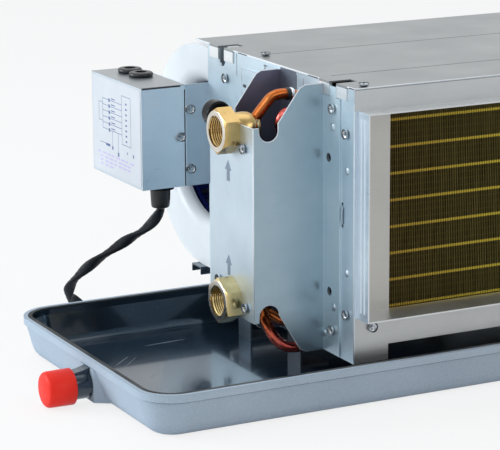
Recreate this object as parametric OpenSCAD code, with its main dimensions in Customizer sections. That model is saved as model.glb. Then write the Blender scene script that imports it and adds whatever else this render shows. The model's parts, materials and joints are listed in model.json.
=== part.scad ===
// Concealed horizontal fan coil unit: finned coil box over a drain pan, two blowers on one motor.
// The casing's own corner is the left end plate's outer face, front edge and bottom edge.

/* [Casing] */
// Length of the casing over its end plates
casing_l = 640; // [600:5:900]
// Depth of the end plates, front to back
casing_d = 249; // [240:1:300]
// Height of the end plates
casing_h = 214; // [206:1:260]
// Thickness of the galvanised sheet
sheet = 1.2; // [0.8:0.1:2]
// Depth of the top panel behind the casing's front edge
top_d = 271; // [255:1:320]
// Drop of the top panel's front flange
top_flange_h = 16; // [10:1:24]
// Width of the end plate's inward back flange
back_flange = 18; // [12:1:30]
// Height of the front rail's lower edge
rail_z = 12.6; // [8:0.2:20]
// Width of the front rail's end legs
leg_w = 30.8; // [20:0.2:40]

/* [Hangers] */
// Width of each hanger slot
slot_w = 10.8; // [8.5:0.1:14]
// Depth of each hanger slot from the panel's end
slot_l = 17; // [14:0.5:26]
// Distance of the front hanger slots behind the front edge
hanger_front = 31.4; // [30:0.2:45]
// Distance between the front and back hanger slots
hanger_pitch = 190.6; // [160:0.2:195]
// Width of the folded tabs beside each slot
tab_w = 16; // [10:0.5:18]
// Drop of the folded tabs
tab_h = 9.6; // [6:0.2:14]
// Depth of the throat in the end plate under each slot
throat_h = 15; // [12:0.5:24]

/* [Drain pan] */
// Overall height of the pan
pan_h = 36; // [32:1:50]
// Pan rim left of the casing
pan_left = 179; // [150:1:240]
// Pan rim right of the casing
pan_right = 25; // [15:1:60]
// Pan rim in front of the casing
pan_front = 20; // [18:1:40]
// Gap between the casing's back and the tray's wall
back_gap = 0.1; // [0.1:0.1:20]
// Casing's bottom edge below the pan's rim
rim_sink = 4; // [1:0.5:6]
// Plan radius of the pan's corners
pan_corner = 30; // [29:0.5:45]
// Inward lean of the pan's walls from rim to floor
pan_taper = 8; // [4:0.5:10]
// Outside radius where wall meets floor
pan_fillet = 14; // [10:0.5:16]
// Thickness of the pressed tray
tray_t = 1.2; // [0.8:0.1:2]
// Thickness of the foam skin under the tray
foam_t = 4.2; // [3:0.1:6]
// Height of the rim band
rim_h = 6; // [4:0.5:9]
// Step of the rim band in front of the wall
rim_step = 1.5; // [0.5:0.1:3]

/* [Drain outlet] */
// Outside diameter of the drain stub
stub_d = 22; // [18:0.5:24]
// Wall of the drain stub
stub_wall = 2; // [1.2:0.1:3]
// Reach of the stub beyond the pan's rim
stub_reach = 33; // [20:1:60]
// Distance of the stub behind the casing's front edge
stub_y = 102; // [40:1:200]
// Height of the stub's axis above the pan's underside
stub_z = 15; // [14.5:0.5:20]
// Outside diameter of the push-on cap
cap_d = 28; // [26:0.2:29]
// Length of the push-on cap
cap_l = 29; // [15:1:32]
// Thickness of the cap's closed end
cap_end = 3; // [2:0.5:5]
// Gap between the cap's bore and the stub
cap_gap = 0.06; // [0.04:0.01:0.1]

/* [Outlet collar] */
// Reach of the duct collar in front of the casing
collar_out = 17; // [12:1:40]
// Inset of the collar from the casing's ends
collar_in = 3; // [2:0.5:12]
// Height of the collar's underside
collar_z = 36; // [28:1:44]
// Radius of the stiffening beads on the collar's ends
bead_r = 0.8; // [0.5:0.1:1.2]

/* [Coil] */
// Coil face behind the casing's front edge
coil_front = 13; // [12.5:0.5:24]
// Depth of the fin pack
coil_d = 40; // [38:1:46]
// Height of the fin pack's underside
coil_z = 22; // [18:1:24]
// Drop of the fin pack's top below the casing's top
coil_drop = 12; // [8:1:16]
// Distance of the tube sheet from the casing's end
sheet_x = 37; // [34:0.5:50]
// Outside diameter of the coil tubes
tube_d = 7; // [6:0.5:8]
// Wall of the coil tubes
tube_wall = 0.5; // [0.3:0.1:0.8]
// Vertical pitch of the tubes
tube_pitch = 21; // [19:0.5:25]
// Distance between the two tube columns
column_gap = 20; // [18:0.5:22]
// Height of the lowest tube of the front column
tube_z = 38.6; // [37:0.2:42]
// Reach of the tubes beyond the tube sheet
tube_reach = 7; // [5:0.5:9]
// Pitch of the modelled fins
fin_pitch = 3; // [2.5:0.1:8]
// Thickness of each modelled fin
fin_t = 1.2; // [0.8:0.1:2]
// Depth of the gaps between fins
fin_gap_d = 3; // [1:0.5:5]

/* [Header shroud] */
// Reach of the shroud beyond the end plate
shroud_reach = 62; // [58:0.5:90]
// Distance of the shroud's front wall behind the casing's front edge
shroud_y = 46; // [44:0.5:50]
// Width of the shroud's face
shroud_w = 74; // [70:0.5:80]
// Width of the shroud's mounting flanges
shroud_flange = 25.5; // [18:0.5:30]
// Height of the face's lower edge
face_z = 29; // [26:0.5:31]
// Drop of the face's upper edge below the casing's top
face_drop = 32; // [28:0.5:35]
// Diameter of the spare holes in the flanges
spare_hole_d = 7; // [4:0.5:8]

/* [Water connections] */
// Wall diameter of the female thread
thread_d = 24.4; // [18:0.1:26]
// Length of the female thread
thread_l = 11; // [8:0.5:12]
// Width across the flats of the hexagon
hex_af = 32; // [30:0.5:36]
// Length of the hexagon
hex_l = 13.4; // [12.5:0.1:20]
// Diameter of the neck
neck_d = 16.4; // [16.2:0.2:17]
// Length of the neck behind the hexagon
neck_l = 22; // [18:0.5:24]
// Height of the inlet connection
inlet_z = 40.7; // [40:0.1:44]
// Drop of the outlet connection below the casing's top
outlet_drop = 38.6; // [36.4:0.1:48]
// Outside diameter of the copper feeders
feeder_d = 7.6; // [6.4:0.2:7.8]

/* [Air vent] */
// Diameter of the vent's stem
stem_d = 8; // [6:0.2:9]
// Diameter of the vent's knob
knob_d = 21; // [16:0.5:26]
// Length of the vent's knob
knob_l = 13; // [9:0.5:18]
// Gap between knob and stem
knob_gap = 0.05; // [0.03:0.01:0.1]

/* [Blowers] */
// Distance of the shaft behind the casing's front edge
fan_y = 305; // [304:0.5:330]
// Height of the shaft
fan_z = 110; // [109:0.5:112]
// Fan deck behind the casing's front edge
deck_y = 208; // [205:0.5:212]
// Width of each volute
volute_w = 190; // [170:1:200]
// Distance of each volute from the casing's end
volute_x = 20; // [14:1:25]
// Wall of the volutes
volute_wall = 2; // [1.5:0.1:2.6]
// Radius of the scroll straight above the shaft
scroll_r = 94; // [90:0.5:95]
// Growth of the scroll in half a turn
scroll_growth = 8; // [2:0.5:9]
// Throat diameter of the inlets
throat_d = 120; // [100:1:122]
// Radius of the inlets' bell mouth
bell_r = 12; // [8:0.5:13]
// Outside diameter of the wheels
wheel_d = 146; // [130:1:150]
// Radial depth of the blades
blade_depth = 11; // [8:0.5:12]
// Thickness of the blades
blade_t = 1.2; // [0.8:0.1:1.6]
// Number of blades on each wheel
blade_count = 40; // [24:1:48]
// Turn of each blade from root to tip in degrees
blade_sweep = 9; // [4:0.5:14]
// Axial gap between a wheel and its inlets
wheel_gap = 2; // [1:0.5:4]
// Diameter of the wheel hubs
hub_d = 28; // [22:1:36]
// Length of the wheel hubs
hub_l = 22; // [16:1:30]

/* [Motor] */
// Diameter of the motor's shell
motor_d = 104; // [90:1:108]
// Length of the motor's shell
motor_l = 96; // [80:1:110]
// Diameter of the shaft
shaft_d = 12; // [10:0.5:14]
// Gap between shaft and bearings
shaft_gap = 0.05; // [0.02:0.01:0.1]
// Diameter of the motor's end bosses
boss_d = 32; // [30:1:36]
// Outside diameter of the rubber rings on the bosses
ring_d = 46; // [40:1:52]

/* [Electrical box] */
// Width of the box along the casing's length
box_w = 40; // [38:1:60]
// Depth of the box
box_d = 103; // [100:1:140]
// Height of the box
box_h = 87; // [80:1:100]
// Height of the box's underside
box_z = 94; // [93:1:96]
// Gap between the box and the end plate
box_off = 22; // [16:1:40]
// Diameter of the cord
cord_d = 7.4; // [6:0.2:7.6]

/* [Hidden] */
$fn = 48;

// Pan outline and the casing's place on it
pan_x = [-pan_left, casing_l + pan_right];
pan_back = rim_step + foam_t + tray_t + back_gap;
pan_depth = pan_front + casing_d + pan_back;
pan_y = [-pan_depth / 2, pan_depth / 2];
casing_y = pan_y[0] + pan_front;
casing_z = pan_h - rim_sink;
lip_z = pan_h - rim_h;
floor_z = foam_t + tray_t;

// Casing levels
collar_top = casing_h - top_flange_h;
hanger_ys = [hanger_front, hanger_front + hanger_pitch];
coil_back = coil_front + coil_d;
coil_top = casing_h - coil_drop;
column_ys = [coil_front + coil_d / 2 - column_gap / 2, coil_front + coil_d / 2 + column_gap / 2];
column_zs = [tube_z, tube_z - tube_pitch / 2];
tube_rows = 2 * floor((coil_top - tube_d - tube_z + tube_pitch) / (2 * tube_pitch));
tube_x = [sheet_x - tube_reach, casing_l - sheet_x + tube_reach];

// Water side
port_y = shroud_y + shroud_w / 2;
outlet_z = casing_h - outlet_drop;
mouth_x = -shroud_reach - hex_l;
neck_x = -shroud_reach + neck_l;
passage_d = 9;
brazed = 4;
feeder_off = 3.9;
vent_x = -shroud_reach + 12;
vent_z = outlet_z + 3.6;
stem_end = shroud_y + shroud_w + 16;
knob_y = shroud_y + shroud_w + 6;

// Shroud cut-outs, measured from the end plate and the casing's bottom
notch_x = -shroud_reach + 13.5;
notch_r = 8.5;
notch_low_r = 9;
shroud_z = 0.8;
shroud_slack = 0.4;
shroud_top = casing_h - 2;
face_top = casing_h - face_drop;
slope_top_x = -22;
slope_low_x = [-39, -23];
pipe_hole_r = 5.8;

// Blower train
wheel_r = wheel_d / 2;
bell_center = throat_d / 2 + bell_r;
volute_xs = [volute_x, casing_l - volute_x - volute_w];
wheel_in = volute_wall + bell_r + wheel_gap;
wheel_l = volute_w - 2 * wheel_in;
rim_t = 3;
tongue_angle = 140;
shaft_over = 8;
motor_x = casing_l / 2;
motor_x0 = motor_x - motor_l / 2;
motor_x1 = motor_x + motor_l / 2;
bell_t = 10;
boss_l = 13;
bell_wall = 3;
bearing_d = 26;
bearing_l = 8;
support_z = fan_z - scroll_r - scroll_growth;
support_h = 7;
support_d = 18;
cradle_z = fan_z - motor_d / 2 - 10;

// Electrical box corners
box_x = [-box_off - box_w, -box_off];
box_y = [casing_d, casing_d + box_d];
box_zs = [box_z, box_z + box_h];
bushing_x = box_x[0] + 23;
bushing_y = box_y[0] + 13;
bushing_h = 14;
bushing_r = 7.8;
bushing_flange_r = 11;
bushing_flange_h = 2.6;
grommet_x = box_x[0] + 25;
grommet_ys = [box_y[0] + 55, box_y[0] + 78];
grommet_hole_r = 7.5;
gland_l = 14;

// Screw heads
head_r = 4;
head_h = 2.6;

// Motor lead from the bushing down to the floor behind the pan, and up to the motor's gland
lead_start = [bushing_x, bushing_y, box_z - bushing_h];
lead_end = [motor_x, fan_y + motor_d / 2 + gland_l, fan_z];
lead_floor = cord_d / 2 + 0.3 - casing_z;
lead_route = concat(
    [for (step = [
        [0, 0, 0], [-1, 0.5, -8], [-7, 2, -17], [-16, 5, -25], [-25, 9, -31], [-34, 13, -37], [-45, 18, -45],
        [-55, 23, -53], [-63, 28, -61], [-69, 33, -70], [-71, 39, -81], [-68, 46, -93], [-59, 55, -103]
    ]) lead_start + step],
    [for (step = [
        [-43, 63], [-21, 67], [9, 69], [49, 70], [99, 70], [159, 70], [214, 72], [261, 79]
    ]) [lead_start[0] + step[0], lead_start[1] + step[1], lead_floor]],
    [for (step = [
        [-66, -16, -137], [-44, 0, -129], [-29, 12, -114], [-18, 19, -90], [-9, 22, -62], [-3, 22, -34],
        [0, 19, -12], [0, 10, -1], [0, 0, 0]
    ]) lead_end + step]
);

// Feeder routes from the necks through the end plate to the coil's tube ends
braze_gap = 0.4;
feed_x = [tube_x[0] - 5, tube_x[0] - braze_gap];
top_row_zs = [tube_row_z(0, tube_rows - 1), tube_row_z(1, tube_rows - 1)];
route_out_upper = [
    [neck_x - brazed, port_y, outlet_z + feeder_off], [neck_x + 4, port_y, outlet_z + feeder_off],
    [-32, port_y, outlet_z + 12.6], [-25, port_y, outlet_z + 17.1], [-14, port_y, outlet_z + 17.6],
    [0, port_y, outlet_z + 17.6],
    [10, 74, top_row_zs[0] + 6.4], [16, 56, top_row_zs[0] + 3.4], [19, 38, top_row_zs[0] + 0.9],
    [feed_x[0], column_ys[0], top_row_zs[0]], [feed_x[1], column_ys[0], top_row_zs[0]]
];
route_out_lower = [
    [neck_x - brazed, port_y, outlet_z - feeder_off], [neck_x + 4, port_y, outlet_z - feeder_off],
    [-24, 77, outlet_z - 2.4], [-10, 69, outlet_z - 1.4], [0, 62.6, outlet_z - 0.4],
    [11, 53, top_row_zs[1] - 0.1],
    [feed_x[0], column_ys[1], top_row_zs[1]], [feed_x[1], column_ys[1], top_row_zs[1]]
];
route_in_front = [
    [neck_x - brazed, port_y - feeder_off, inlet_z], [neck_x + 3, port_y - feeder_off, inlet_z - 1],
    [-34, 69, 27], [-28, 60, 13], [-18, 56, 7], [-8, 55, 9], [0, 54, 13], [11, 48, 20],
    [feed_x[0], column_ys[1], tube_row_z(1, 0)], [feed_x[1], column_ys[1], tube_row_z(1, 0)]
];
route_in_back = [
    [neck_x - brazed, port_y + feeder_off, inlet_z], [neck_x + 4, port_y + feeder_off, inlet_z - 1],
    [-27, 82, 30], [-18, 76, 21], [-9, 69, 19], [0, 65, 21], [6, 60, 27], [12, 48, 35], [18, 33, 38.4],
    [feed_x[0], column_ys[0], tube_row_z(0, 0)], [feed_x[1], column_ys[0], tube_row_z(0, 0)]
];
pipe_holes = [
    [port_y, outlet_z + 17.6], [62.6, outlet_z - 0.4], [53.6, 13.4], [64.6, 21.4]
];

galvanised = [0.66, 0.71, 0.74];
dark_paint = [0.12, 0.16, 0.2];
foam_grey = [0.62, 0.67, 0.72];
brass = [0.72, 0.6, 0.28];
copper = [0.72, 0.36, 0.2];
white_plastic = [0.93, 0.95, 0.97];
navy = [0.06, 0.1, 0.36];
black_rubber = [0.05, 0.05, 0.06];

// Height of a tube, by column and row
function tube_row_z(column, row) = column_zs[column] + row * tube_pitch;

// Radius of the scroll at an angle above the backward direction
function scroll_at(angle) = scroll_r + scroll_growth * (90 - angle) / 180;

// Helpers for boxes and round bars by their extents
module block(x, y, z) {
    translate([x[0], y[0], z[0]]) cube([x[1] - x[0], y[1] - y[0], z[1] - z[0]]);
}
module rod_x(x, y, z, r) {
    translate([x[0], y, z]) rotate([0, 90, 0]) cylinder(r = r, h = x[1] - x[0]);
}
module rod_y(x, y, z, r) {
    translate([x, y[0], z]) rotate([-90, 0, 0]) cylinder(r = r, h = y[1] - y[0]);
}
module rod_z(x, y, z, r) {
    translate([x, y, z[0]]) cylinder(r = r, h = z[1] - z[0]);
}
module at_casing() {
    translate([0, casing_y, casing_z]) children();
}
module at_right_end() {
    translate([casing_l, 0, 0]) mirror([1, 0, 0]) children();
}
module both_ends() {
    children();
    at_right_end() children();
}

// Smooth path through hand-chosen points
function curve_at(a, b, c, d, u) =
    0.5 * (2 * b + (c - a) * u + (2 * a - 5 * b + 4 * c - d) * u * u
    + (3 * b - a - 3 * c + d) * u * u * u);
function smooth_path(p, steps) = concat(
    [for (i = [0 : len(p) - 2], k = [0 : steps - 1])
        curve_at(p[max(i - 1, 0)], p[i], p[i + 1], p[min(i + 2, len(p) - 1)], k / steps)],
    [p[len(p) - 1]]
);
function unit(v) = v / norm(v);
function heading(p, i) = unit(p[min(i + 1, len(p) - 1)] - p[max(i - 1, 0)]);
function carried(n, t) = unit(n - (n * t) * t);
function normals(p, i, n) = i == len(p) ? [] :
    let (m = carried(n, heading(p, i))) concat([m], normals(p, i + 1, m));

// Round tube swept along a path
module swept_tube(p, r, sides) {
    count = len(p);
    across = normals(p, 0, [0, 0.6, 0.8]);
    points = [for (i = [0 : count - 1], k = [0 : sides - 1])
        let (a = 360 * k / sides, n = across[i], m = cross(heading(p, i), n))
        p[i] + r * (cos(a) * n + sin(a) * m)];
    walls = [for (i = [0 : count - 2], k = [0 : sides - 1])
        let (j = (k + 1) % sides)
        [i * sides + k, (i + 1) * sides + k, (i + 1) * sides + j, i * sides + j]];
    start = [for (k = [0 : sides - 1]) k];
    end = [for (k = [sides - 1 : -1 : 0]) (count - 1) * sides + k];
    polyhedron(points, concat(walls, [start, end]), convexity = 6);
}

// Pan section: what lies inside the wall line moved in by an inset, out to the corner radius
module basin_section(inset, top) {
    wall_u = rim_step + inset;
    foot_u = wall_u + pan_taper * (lip_z - inset) / lip_z;
    slant = norm([lip_z, pan_taper]);
    r = max(pan_fillet - inset, 2);
    center = [foot_u + r * (slant - pan_taper) / lip_z, inset + r];
    tangent = center - r * [lip_z, pan_taper] / slant;
    polygon([
        [wall_u, top], [wall_u, lip_z], tangent, center, [center[0], inset],
        [pan_corner, inset], [pan_corner, top]
    ]);
    translate(center) intersection() {
        circle(r = r);
        translate([-r, -r]) square(r);
    }
}
module foam_section() {
    difference() {
        union() {
            basin_section(0, lip_z);
            translate([0, lip_z]) square([pan_corner, rim_h - tray_t]);
        }
        basin_section(foam_t, pan_h + 1);
    }
}
module tray_section() {
    difference() {
        union() {
            basin_section(foam_t, pan_h);
            translate([0, pan_h - tray_t]) square([pan_corner, tray_t]);
        }
        basin_section(floor_z, pan_h + 1);
    }
}

// Sweeps a pan section round the rounded rectangle; the second child is cut from its left side
module pan_end(inner_y) {
    translate([pan_x[0], inner_y[1], 0])
        rotate([90, 0, 0]) linear_extrude(inner_y[1] - inner_y[0]) children();
}
module pan_sweep(floor_levels) {
    inner_x = [pan_x[0] + pan_corner, pan_x[1] - pan_corner];
    inner_y = [pan_y[0] + pan_corner, pan_y[1] - pan_corner];
    for (flip = [0, 1])
        mirror([0, flip, 0]) translate([inner_x[0], pan_y[0], 0])
            rotate([90, 0, 90]) linear_extrude(inner_x[1] - inner_x[0]) children(0);
    difference() {
        pan_end(inner_y) children(0);
        children(1);
    }
    translate([pan_x[0] + pan_x[1], 0, 0]) mirror([1, 0, 0]) pan_end(inner_y) children(0);
    for (corner = [[1, 1, 0], [0, 1, 90], [0, 0, 180], [1, 0, 270]])
        translate([inner_x[corner[0]], inner_y[corner[1]], 0]) rotate([0, 0, corner[2]])
            rotate_extrude(angle = 90) translate([pan_corner, 0]) mirror([1, 0]) children(0);
    block(inner_x, inner_y, floor_levels);
}
module drain_pan() color(dark_paint) pan_sweep([foam_t, floor_z]) {
    tray_section();
    rod_x([pan_x[0] - 1, pan_x[0] + stub_in + 1], casing_y + stub_y, stub_z, stub_d / 2);
}
module pan_foam() color(foam_grey) pan_sweep([0, foam_t]) {
    half = stub_d / 2 + stub_slack;
    foam_section();
    block([pan_x[0] - 1, pan_x[0] + stub_in + 1],
        [casing_y + stub_y - half, casing_y + stub_y + half], [stub_z - half, stub_z + half]);
}

// Drain stub through the pan's left wall, with its push-on cap
stub_x = pan_x[0] - stub_reach;
stub_in = floor_z + rim_step + pan_taper;
stub_slack = 0.6;
module drain_stub() color(dark_paint) difference() {
    rod_x([stub_x, pan_x[0] + stub_in], casing_y + stub_y, stub_z, stub_d / 2);
    rod_x([stub_x - 1, pan_x[0] + pan_corner], casing_y + stub_y, stub_z, stub_d / 2 - stub_wall);
}
module drain_cap() color([0.9, 0.2, 0.16])
    translate([stub_x - cap_end - cap_gap, casing_y + stub_y, stub_z]) rotate([0, 90, 0])
    rotate_extrude() difference() {
        union() {
            translate([0, 1.5]) square([cap_d / 2, cap_l - 1.5]);
            square([cap_d / 2 - 1.5, cap_l]);
            translate([cap_d / 2 - 1.5, 1.5]) circle(r = 1.5);
        }
        translate([0, cap_end]) square([stub_d / 2 + cap_gap, cap_l]);
    }

// Angle brackets that carry the casing on the pan's floor
bracket_ys = [88, 176];
bracket_w = 22;
bracket_t = 1.5;
bracket_up = 18;
bracket_foot = 26;
module pan_brackets() color(dark_paint) both_ends() for (y = bracket_ys) translate([0, casing_y, 0]) {
    block([sheet, sheet + bracket_t], [y, y + bracket_w], [floor_z, casing_z + bracket_up]);
    block([sheet, sheet + bracket_foot], [y, y + bracket_w], [floor_z, floor_z + bracket_t]);
}

// End plates with hanger throats and an inward back flange
module hanger_throat(y) {
    low = casing_h - throat_h + slot_w / 2;
    block([-1, sheet + 1], [y - slot_w / 2, y + slot_w / 2], [low, casing_h + 1]);
    rod_x([-1, sheet + 1], y, low, slot_w / 2);
}
module end_plate_blank() {
    difference() {
        union() {
            block([0, sheet], [0, casing_d], [0, casing_h]);
            block([0, back_flange], [casing_d - sheet, casing_d], [0, casing_h]);
        }
        for (y = hanger_ys) hanger_throat(y);
    }
}
module spare_holes() {
    middle = 2 * port_y;
    for (hole = [[37.6, casing_h - 58], [36, 50]], y = [hole[0], middle - hole[0]])
        rod_x([-sheet - 1, sheet + 1], y, hole[1], spare_hole_d / 2);
}
stitch_y = 17.7;
stitch_zs = [106, 123];
stitch_r = 1.4;
module left_end_plate() color(galvanised) at_casing() difference() {
    end_plate_blank();
    spare_holes();
    for (hole = pipe_holes)
        rod_x([-1, sheet + 1], hole[0], hole[1], pipe_hole_r);
    for (z = stitch_zs) rod_x([-1, sheet + 1], stitch_y, z, stitch_r);
}
module right_end_plate() color(galvanised) at_casing() at_right_end() end_plate_blank();

// Top panel: front flange, folded tabs beside open hanger slots, two pressed lines
crease_w = 1.2;
crease_d = 0.4;
crease_ys = [57, 170];
crease_in = 12;
function tab_froms(y) = [y - slot_w / 2 - tab_w, y + slot_w / 2];
module hanger_tabs(y) {
    for (from = tab_froms(y))
        block([-sheet, 0], [from, from + tab_w], [casing_h - tab_h, casing_h + sheet]);
}
module hanger_slot(y) {
    block([-1 - sheet, slot_l], [y - slot_w / 2, y + slot_w / 2], [casing_h - 1, casing_h + sheet + 1]);
}
module top_panel() color(galvanised) at_casing() difference() {
    union() {
        block([0, casing_l], [-sheet, top_d], [casing_h, casing_h + sheet]);
        block([0, casing_l], [-sheet, 0], [collar_top, casing_h]);
        both_ends() for (y = hanger_ys) hanger_tabs(y);
    }
    both_ends() for (y = hanger_ys) hanger_slot(y);
    for (y = crease_ys)
        block([crease_in, casing_l - crease_in], [y, y + crease_w],
            [casing_h + sheet - crease_d, casing_h + sheet + 1]);
}

// Duct collar: a sleeve from the coil face out past the casing's front
module outlet_collar() color(galvanised) at_casing() difference() {
    union() {
        block([collar_in, casing_l - collar_in], [-collar_out, coil_front - sheet], [collar_z, collar_top]);
        both_ends() for (y = [-collar_out * 0.65, -collar_out * 0.35])
            rod_z(collar_in, y, [collar_z + 6, collar_top - 6], bead_r);
    }
    block([collar_in + sheet, casing_l - collar_in - sheet], [-collar_out - 1, coil_front],
        [collar_z + sheet, collar_top - sheet]);
}

// Front rail under the collar, with a leg and foot at each end
rail_lip = 9;
foot_d = 14;
module front_rail() color(galvanised) at_casing() {
    block([sheet, casing_l - sheet], [0, sheet], [rail_z, collar_z]);
    block([sheet, casing_l - sheet], [0, rail_lip], [collar_z - sheet, collar_z]);
    both_ends() {
        block([sheet, leg_w], [0, sheet], [0, rail_z]);
        block([sheet, leg_w], [0, foot_d], [0, sheet]);
    }
}

// Fan deck with an outlet window for each volute
window_top = fan_z + scroll_at(tongue_angle) * sin(tongue_angle);
module volute_window(x, grow, y) {
    block([x + volute_wall - grow, x + volute_w - volute_wall + grow], y,
        [support_z + volute_wall - grow, window_top - volute_wall + grow]);
}
module fan_deck() color(galvanised) at_casing() difference() {
    block([sheet, casing_l - sheet], [deck_y - sheet, deck_y], [0, casing_h]);
    for (x = volute_xs) volute_window(x, 0, [deck_y - sheet - 1, deck_y + 1]);
}

// Dark channel under the volutes, on two arms from the deck
arm_w = 14;
arm_gap = 8;
arm_lift = 0.6;
module fan_support() color(dark_paint) at_casing() {
    arm_xs = [volute_xs[0] + volute_w + arm_gap, volute_xs[1] - arm_gap - arm_w];
    difference() {
        block([volute_x - 6, casing_l - volute_x + 6], [fan_y - support_d / 2, fan_y + support_d / 2],
            [support_z - support_h, support_z]);
        block([volute_x - 7, casing_l - volute_x + 7],
            [fan_y - support_d / 2 + sheet, fan_y + support_d / 2 - sheet],
            [support_z - support_h - 1, support_z - sheet]);
    }
    for (x = arm_xs)
        block([x, x + arm_w], [deck_y, fan_y - support_d / 2], [rim_sink + arm_lift, support_z - sheet]);
}

// Coil: tube sheets with blanking flanges, fin pack, tubes and bends
module coil_bores(x, r) {
    for (column = [0, 1], row = [0 : tube_rows - 1])
        rod_x(x, column_ys[column], tube_row_z(column, row), r);
}
module tube_sheet() {
    difference() {
        union() {
            block([sheet_x, sheet_x + sheet], [coil_front - sheet, coil_back], [coil_z, coil_top]);
            block([sheet, sheet_x], [coil_front - sheet, coil_front], [coil_z, coil_top]);
        }
        coil_bores([sheet_x - 1, sheet_x + sheet + 1], tube_d / 2);
    }
}
module tube_sheet_left() color(galvanised) at_casing() tube_sheet();
module tube_sheet_right() color(galvanised) at_casing() at_right_end() tube_sheet();
module coil_fins() color([0.5, 0.42, 0.12]) at_casing() {
    start = sheet_x + sheet;
    end = casing_l - start;
    fins = floor((end - start - fin_t) / fin_pitch);
    low = coil_front + fin_gap_d;
    comb = [for (i = [0 : fins - 1], k = [0 : 3])
        [start + i * fin_pitch + (k < 1 ? 0 : k < 3 ? fin_t : fin_pitch), k < 2 ? coil_front : low]];
    difference() {
        translate([0, 0, coil_z]) linear_extrude(coil_top - coil_z)
            polygon(concat(comb, [[end, low], [end, coil_back], [start, coil_back]]));
        coil_bores([start - 1, end + 1], tube_d / 2);
    }
}
module coil_tubes() color(copper) at_casing() difference() {
    coil_bores(tube_x, tube_d / 2);
    coil_bores([tube_x[0] - 1, tube_x[1] + 1], tube_d / 2 - tube_wall);
}
module return_bend(x, column, row, turn) {
    translate([x, column_ys[column], tube_row_z(column, row) + tube_pitch / 2])
        rotate([90, 0, 0]) rotate([0, 0, turn]) rotate_extrude(angle = 180)
        translate([tube_pitch / 2, 0]) difference() {
            circle(r = tube_d / 2);
            circle(r = tube_d / 2 - tube_wall);
        }
}
module return_bends_left() color(copper) at_casing()
    for (column = [0, 1], row = [1 : 2 : tube_rows - 3]) return_bend(tube_x[0], column, row, 90);
module return_bends_right() color(copper) at_casing()
    for (column = [0, 1], row = [0 : 2 : tube_rows - 2]) return_bend(tube_x[1], column, row, -90);

// Hat-section shroud that carries the water connections
module shroud_hat() {
    back = shroud_y + shroud_w;
    translate([0, 0, shroud_z]) linear_extrude(shroud_top - shroud_z) polygon([
        [-sheet, shroud_y - shroud_flange], [-sheet, shroud_y], [-shroud_reach, shroud_y],
        [-shroud_reach, back], [-sheet, back], [-sheet, back + shroud_flange],
        [0, back + shroud_flange], [0, back - sheet], [-shroud_reach + sheet, back - sheet],
        [-shroud_reach + sheet, shroud_y + sheet], [0, shroud_y + sheet], [0, shroud_y - shroud_flange]
    ]);
}
module shroud_cut() {
    far = -shroud_reach - 1;
    notch_z = face_top - 3;
    notch_low_z = face_z + 4.5;
    polygon([
        [far, face_top], [notch_x - notch_r, face_top], [notch_x - notch_r, notch_z],
        [notch_x + notch_r, notch_z], [notch_x + notch_r, face_top + 2.5],
        [slope_top_x - 1.5, shroud_top - 5], [slope_top_x + 1, shroud_top - 2], [slope_top_x + 5, shroud_top],
        [slope_top_x + 5, shroud_top + 1], [far, shroud_top + 1]
    ]);
    translate([notch_x, notch_z]) circle(r = notch_r);
    polygon([
        [far, face_z], [notch_x - notch_low_r, face_z], [notch_x - notch_low_r, notch_low_z],
        [notch_x + notch_low_r, notch_low_z], [slope_low_x[0], notch_low_z - 1],
        [slope_low_x[1] - 1, shroud_z + 7], [slope_low_x[1] + 2, shroud_z + 2.5],
        [slope_low_x[1] + 7, shroud_z], [slope_low_x[1] + 7, shroud_z - 1], [far, shroud_z - 1]
    ]);
    translate([notch_x, notch_low_z]) circle(r = notch_low_r);
}
module header_shroud() color(galvanised) at_casing() difference() {
    shroud_hat();
    translate([0, shroud_y + shroud_w + 1, 0]) rotate([90, 0, 0]) linear_extrude(shroud_w + 2) shroud_cut();
    spare_holes();
    for (from = tab_froms(hanger_ys[0]))
        block([-sheet - shroud_slack, 1], [from - shroud_slack, from + tab_w + shroud_slack],
            [casing_h - tab_h - shroud_slack, casing_h]);
    for (z = [inlet_z, outlet_z])
        rod_x([-shroud_reach - 1, -shroud_reach + sheet + 1], port_y, z, neck_d / 2);
    block([-shroud_reach - 1, -shroud_reach + sheet + 1],
        [port_y - neck_d / 2, port_y + neck_d / 2], [outlet_z, face_top + 1]);
}

// Brass connection: chamfered hexagon with a female thread, and a neck for the feeders
hex_chamfer = 1.6;
module connection(z) color(brass) translate([0, port_y, z]) difference() {
    union() {
        intersection() {
            translate([mouth_x, 0, 0]) rotate([0, 90, 0]) cylinder(d = hex_af / cos(30), h = hex_l, $fn = 6);
            translate([mouth_x, 0, 0]) rotate([0, 90, 0]) rotate_extrude() polygon([
                [0, 0], [hex_af / 2 - 0.4, 0], [hex_af / cos(30) / 2 + 0.1, hex_chamfer],
                [hex_af / cos(30) / 2 + 0.1, hex_l], [0, hex_l]
            ]);
        }
        rod_x([-shroud_reach, neck_x], 0, 0, neck_d / 2);
    }
    rod_x([mouth_x - 1, mouth_x + thread_l], 0, 0, thread_d / 2);
    rod_x([mouth_x, neck_x - 2 * brazed], 0, 0, passage_d / 2);
}
module header_out() at_casing() connection(outlet_z);
module header_in() at_casing() connection(inlet_z);

// Copper feeders between connections and coil
feeder_steps = 3;
feeder_sides = 10;
module feeder(route) color(copper) at_casing()
    swept_tube(smooth_path(route, feeder_steps), feeder_d / 2, feeder_sides);
module feeder_out_upper() feeder(route_out_upper);
module feeder_out_lower() feeder(route_out_lower);
module feeder_in_front() feeder(route_in_front);
module feeder_in_back() feeder(route_in_back);

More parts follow.
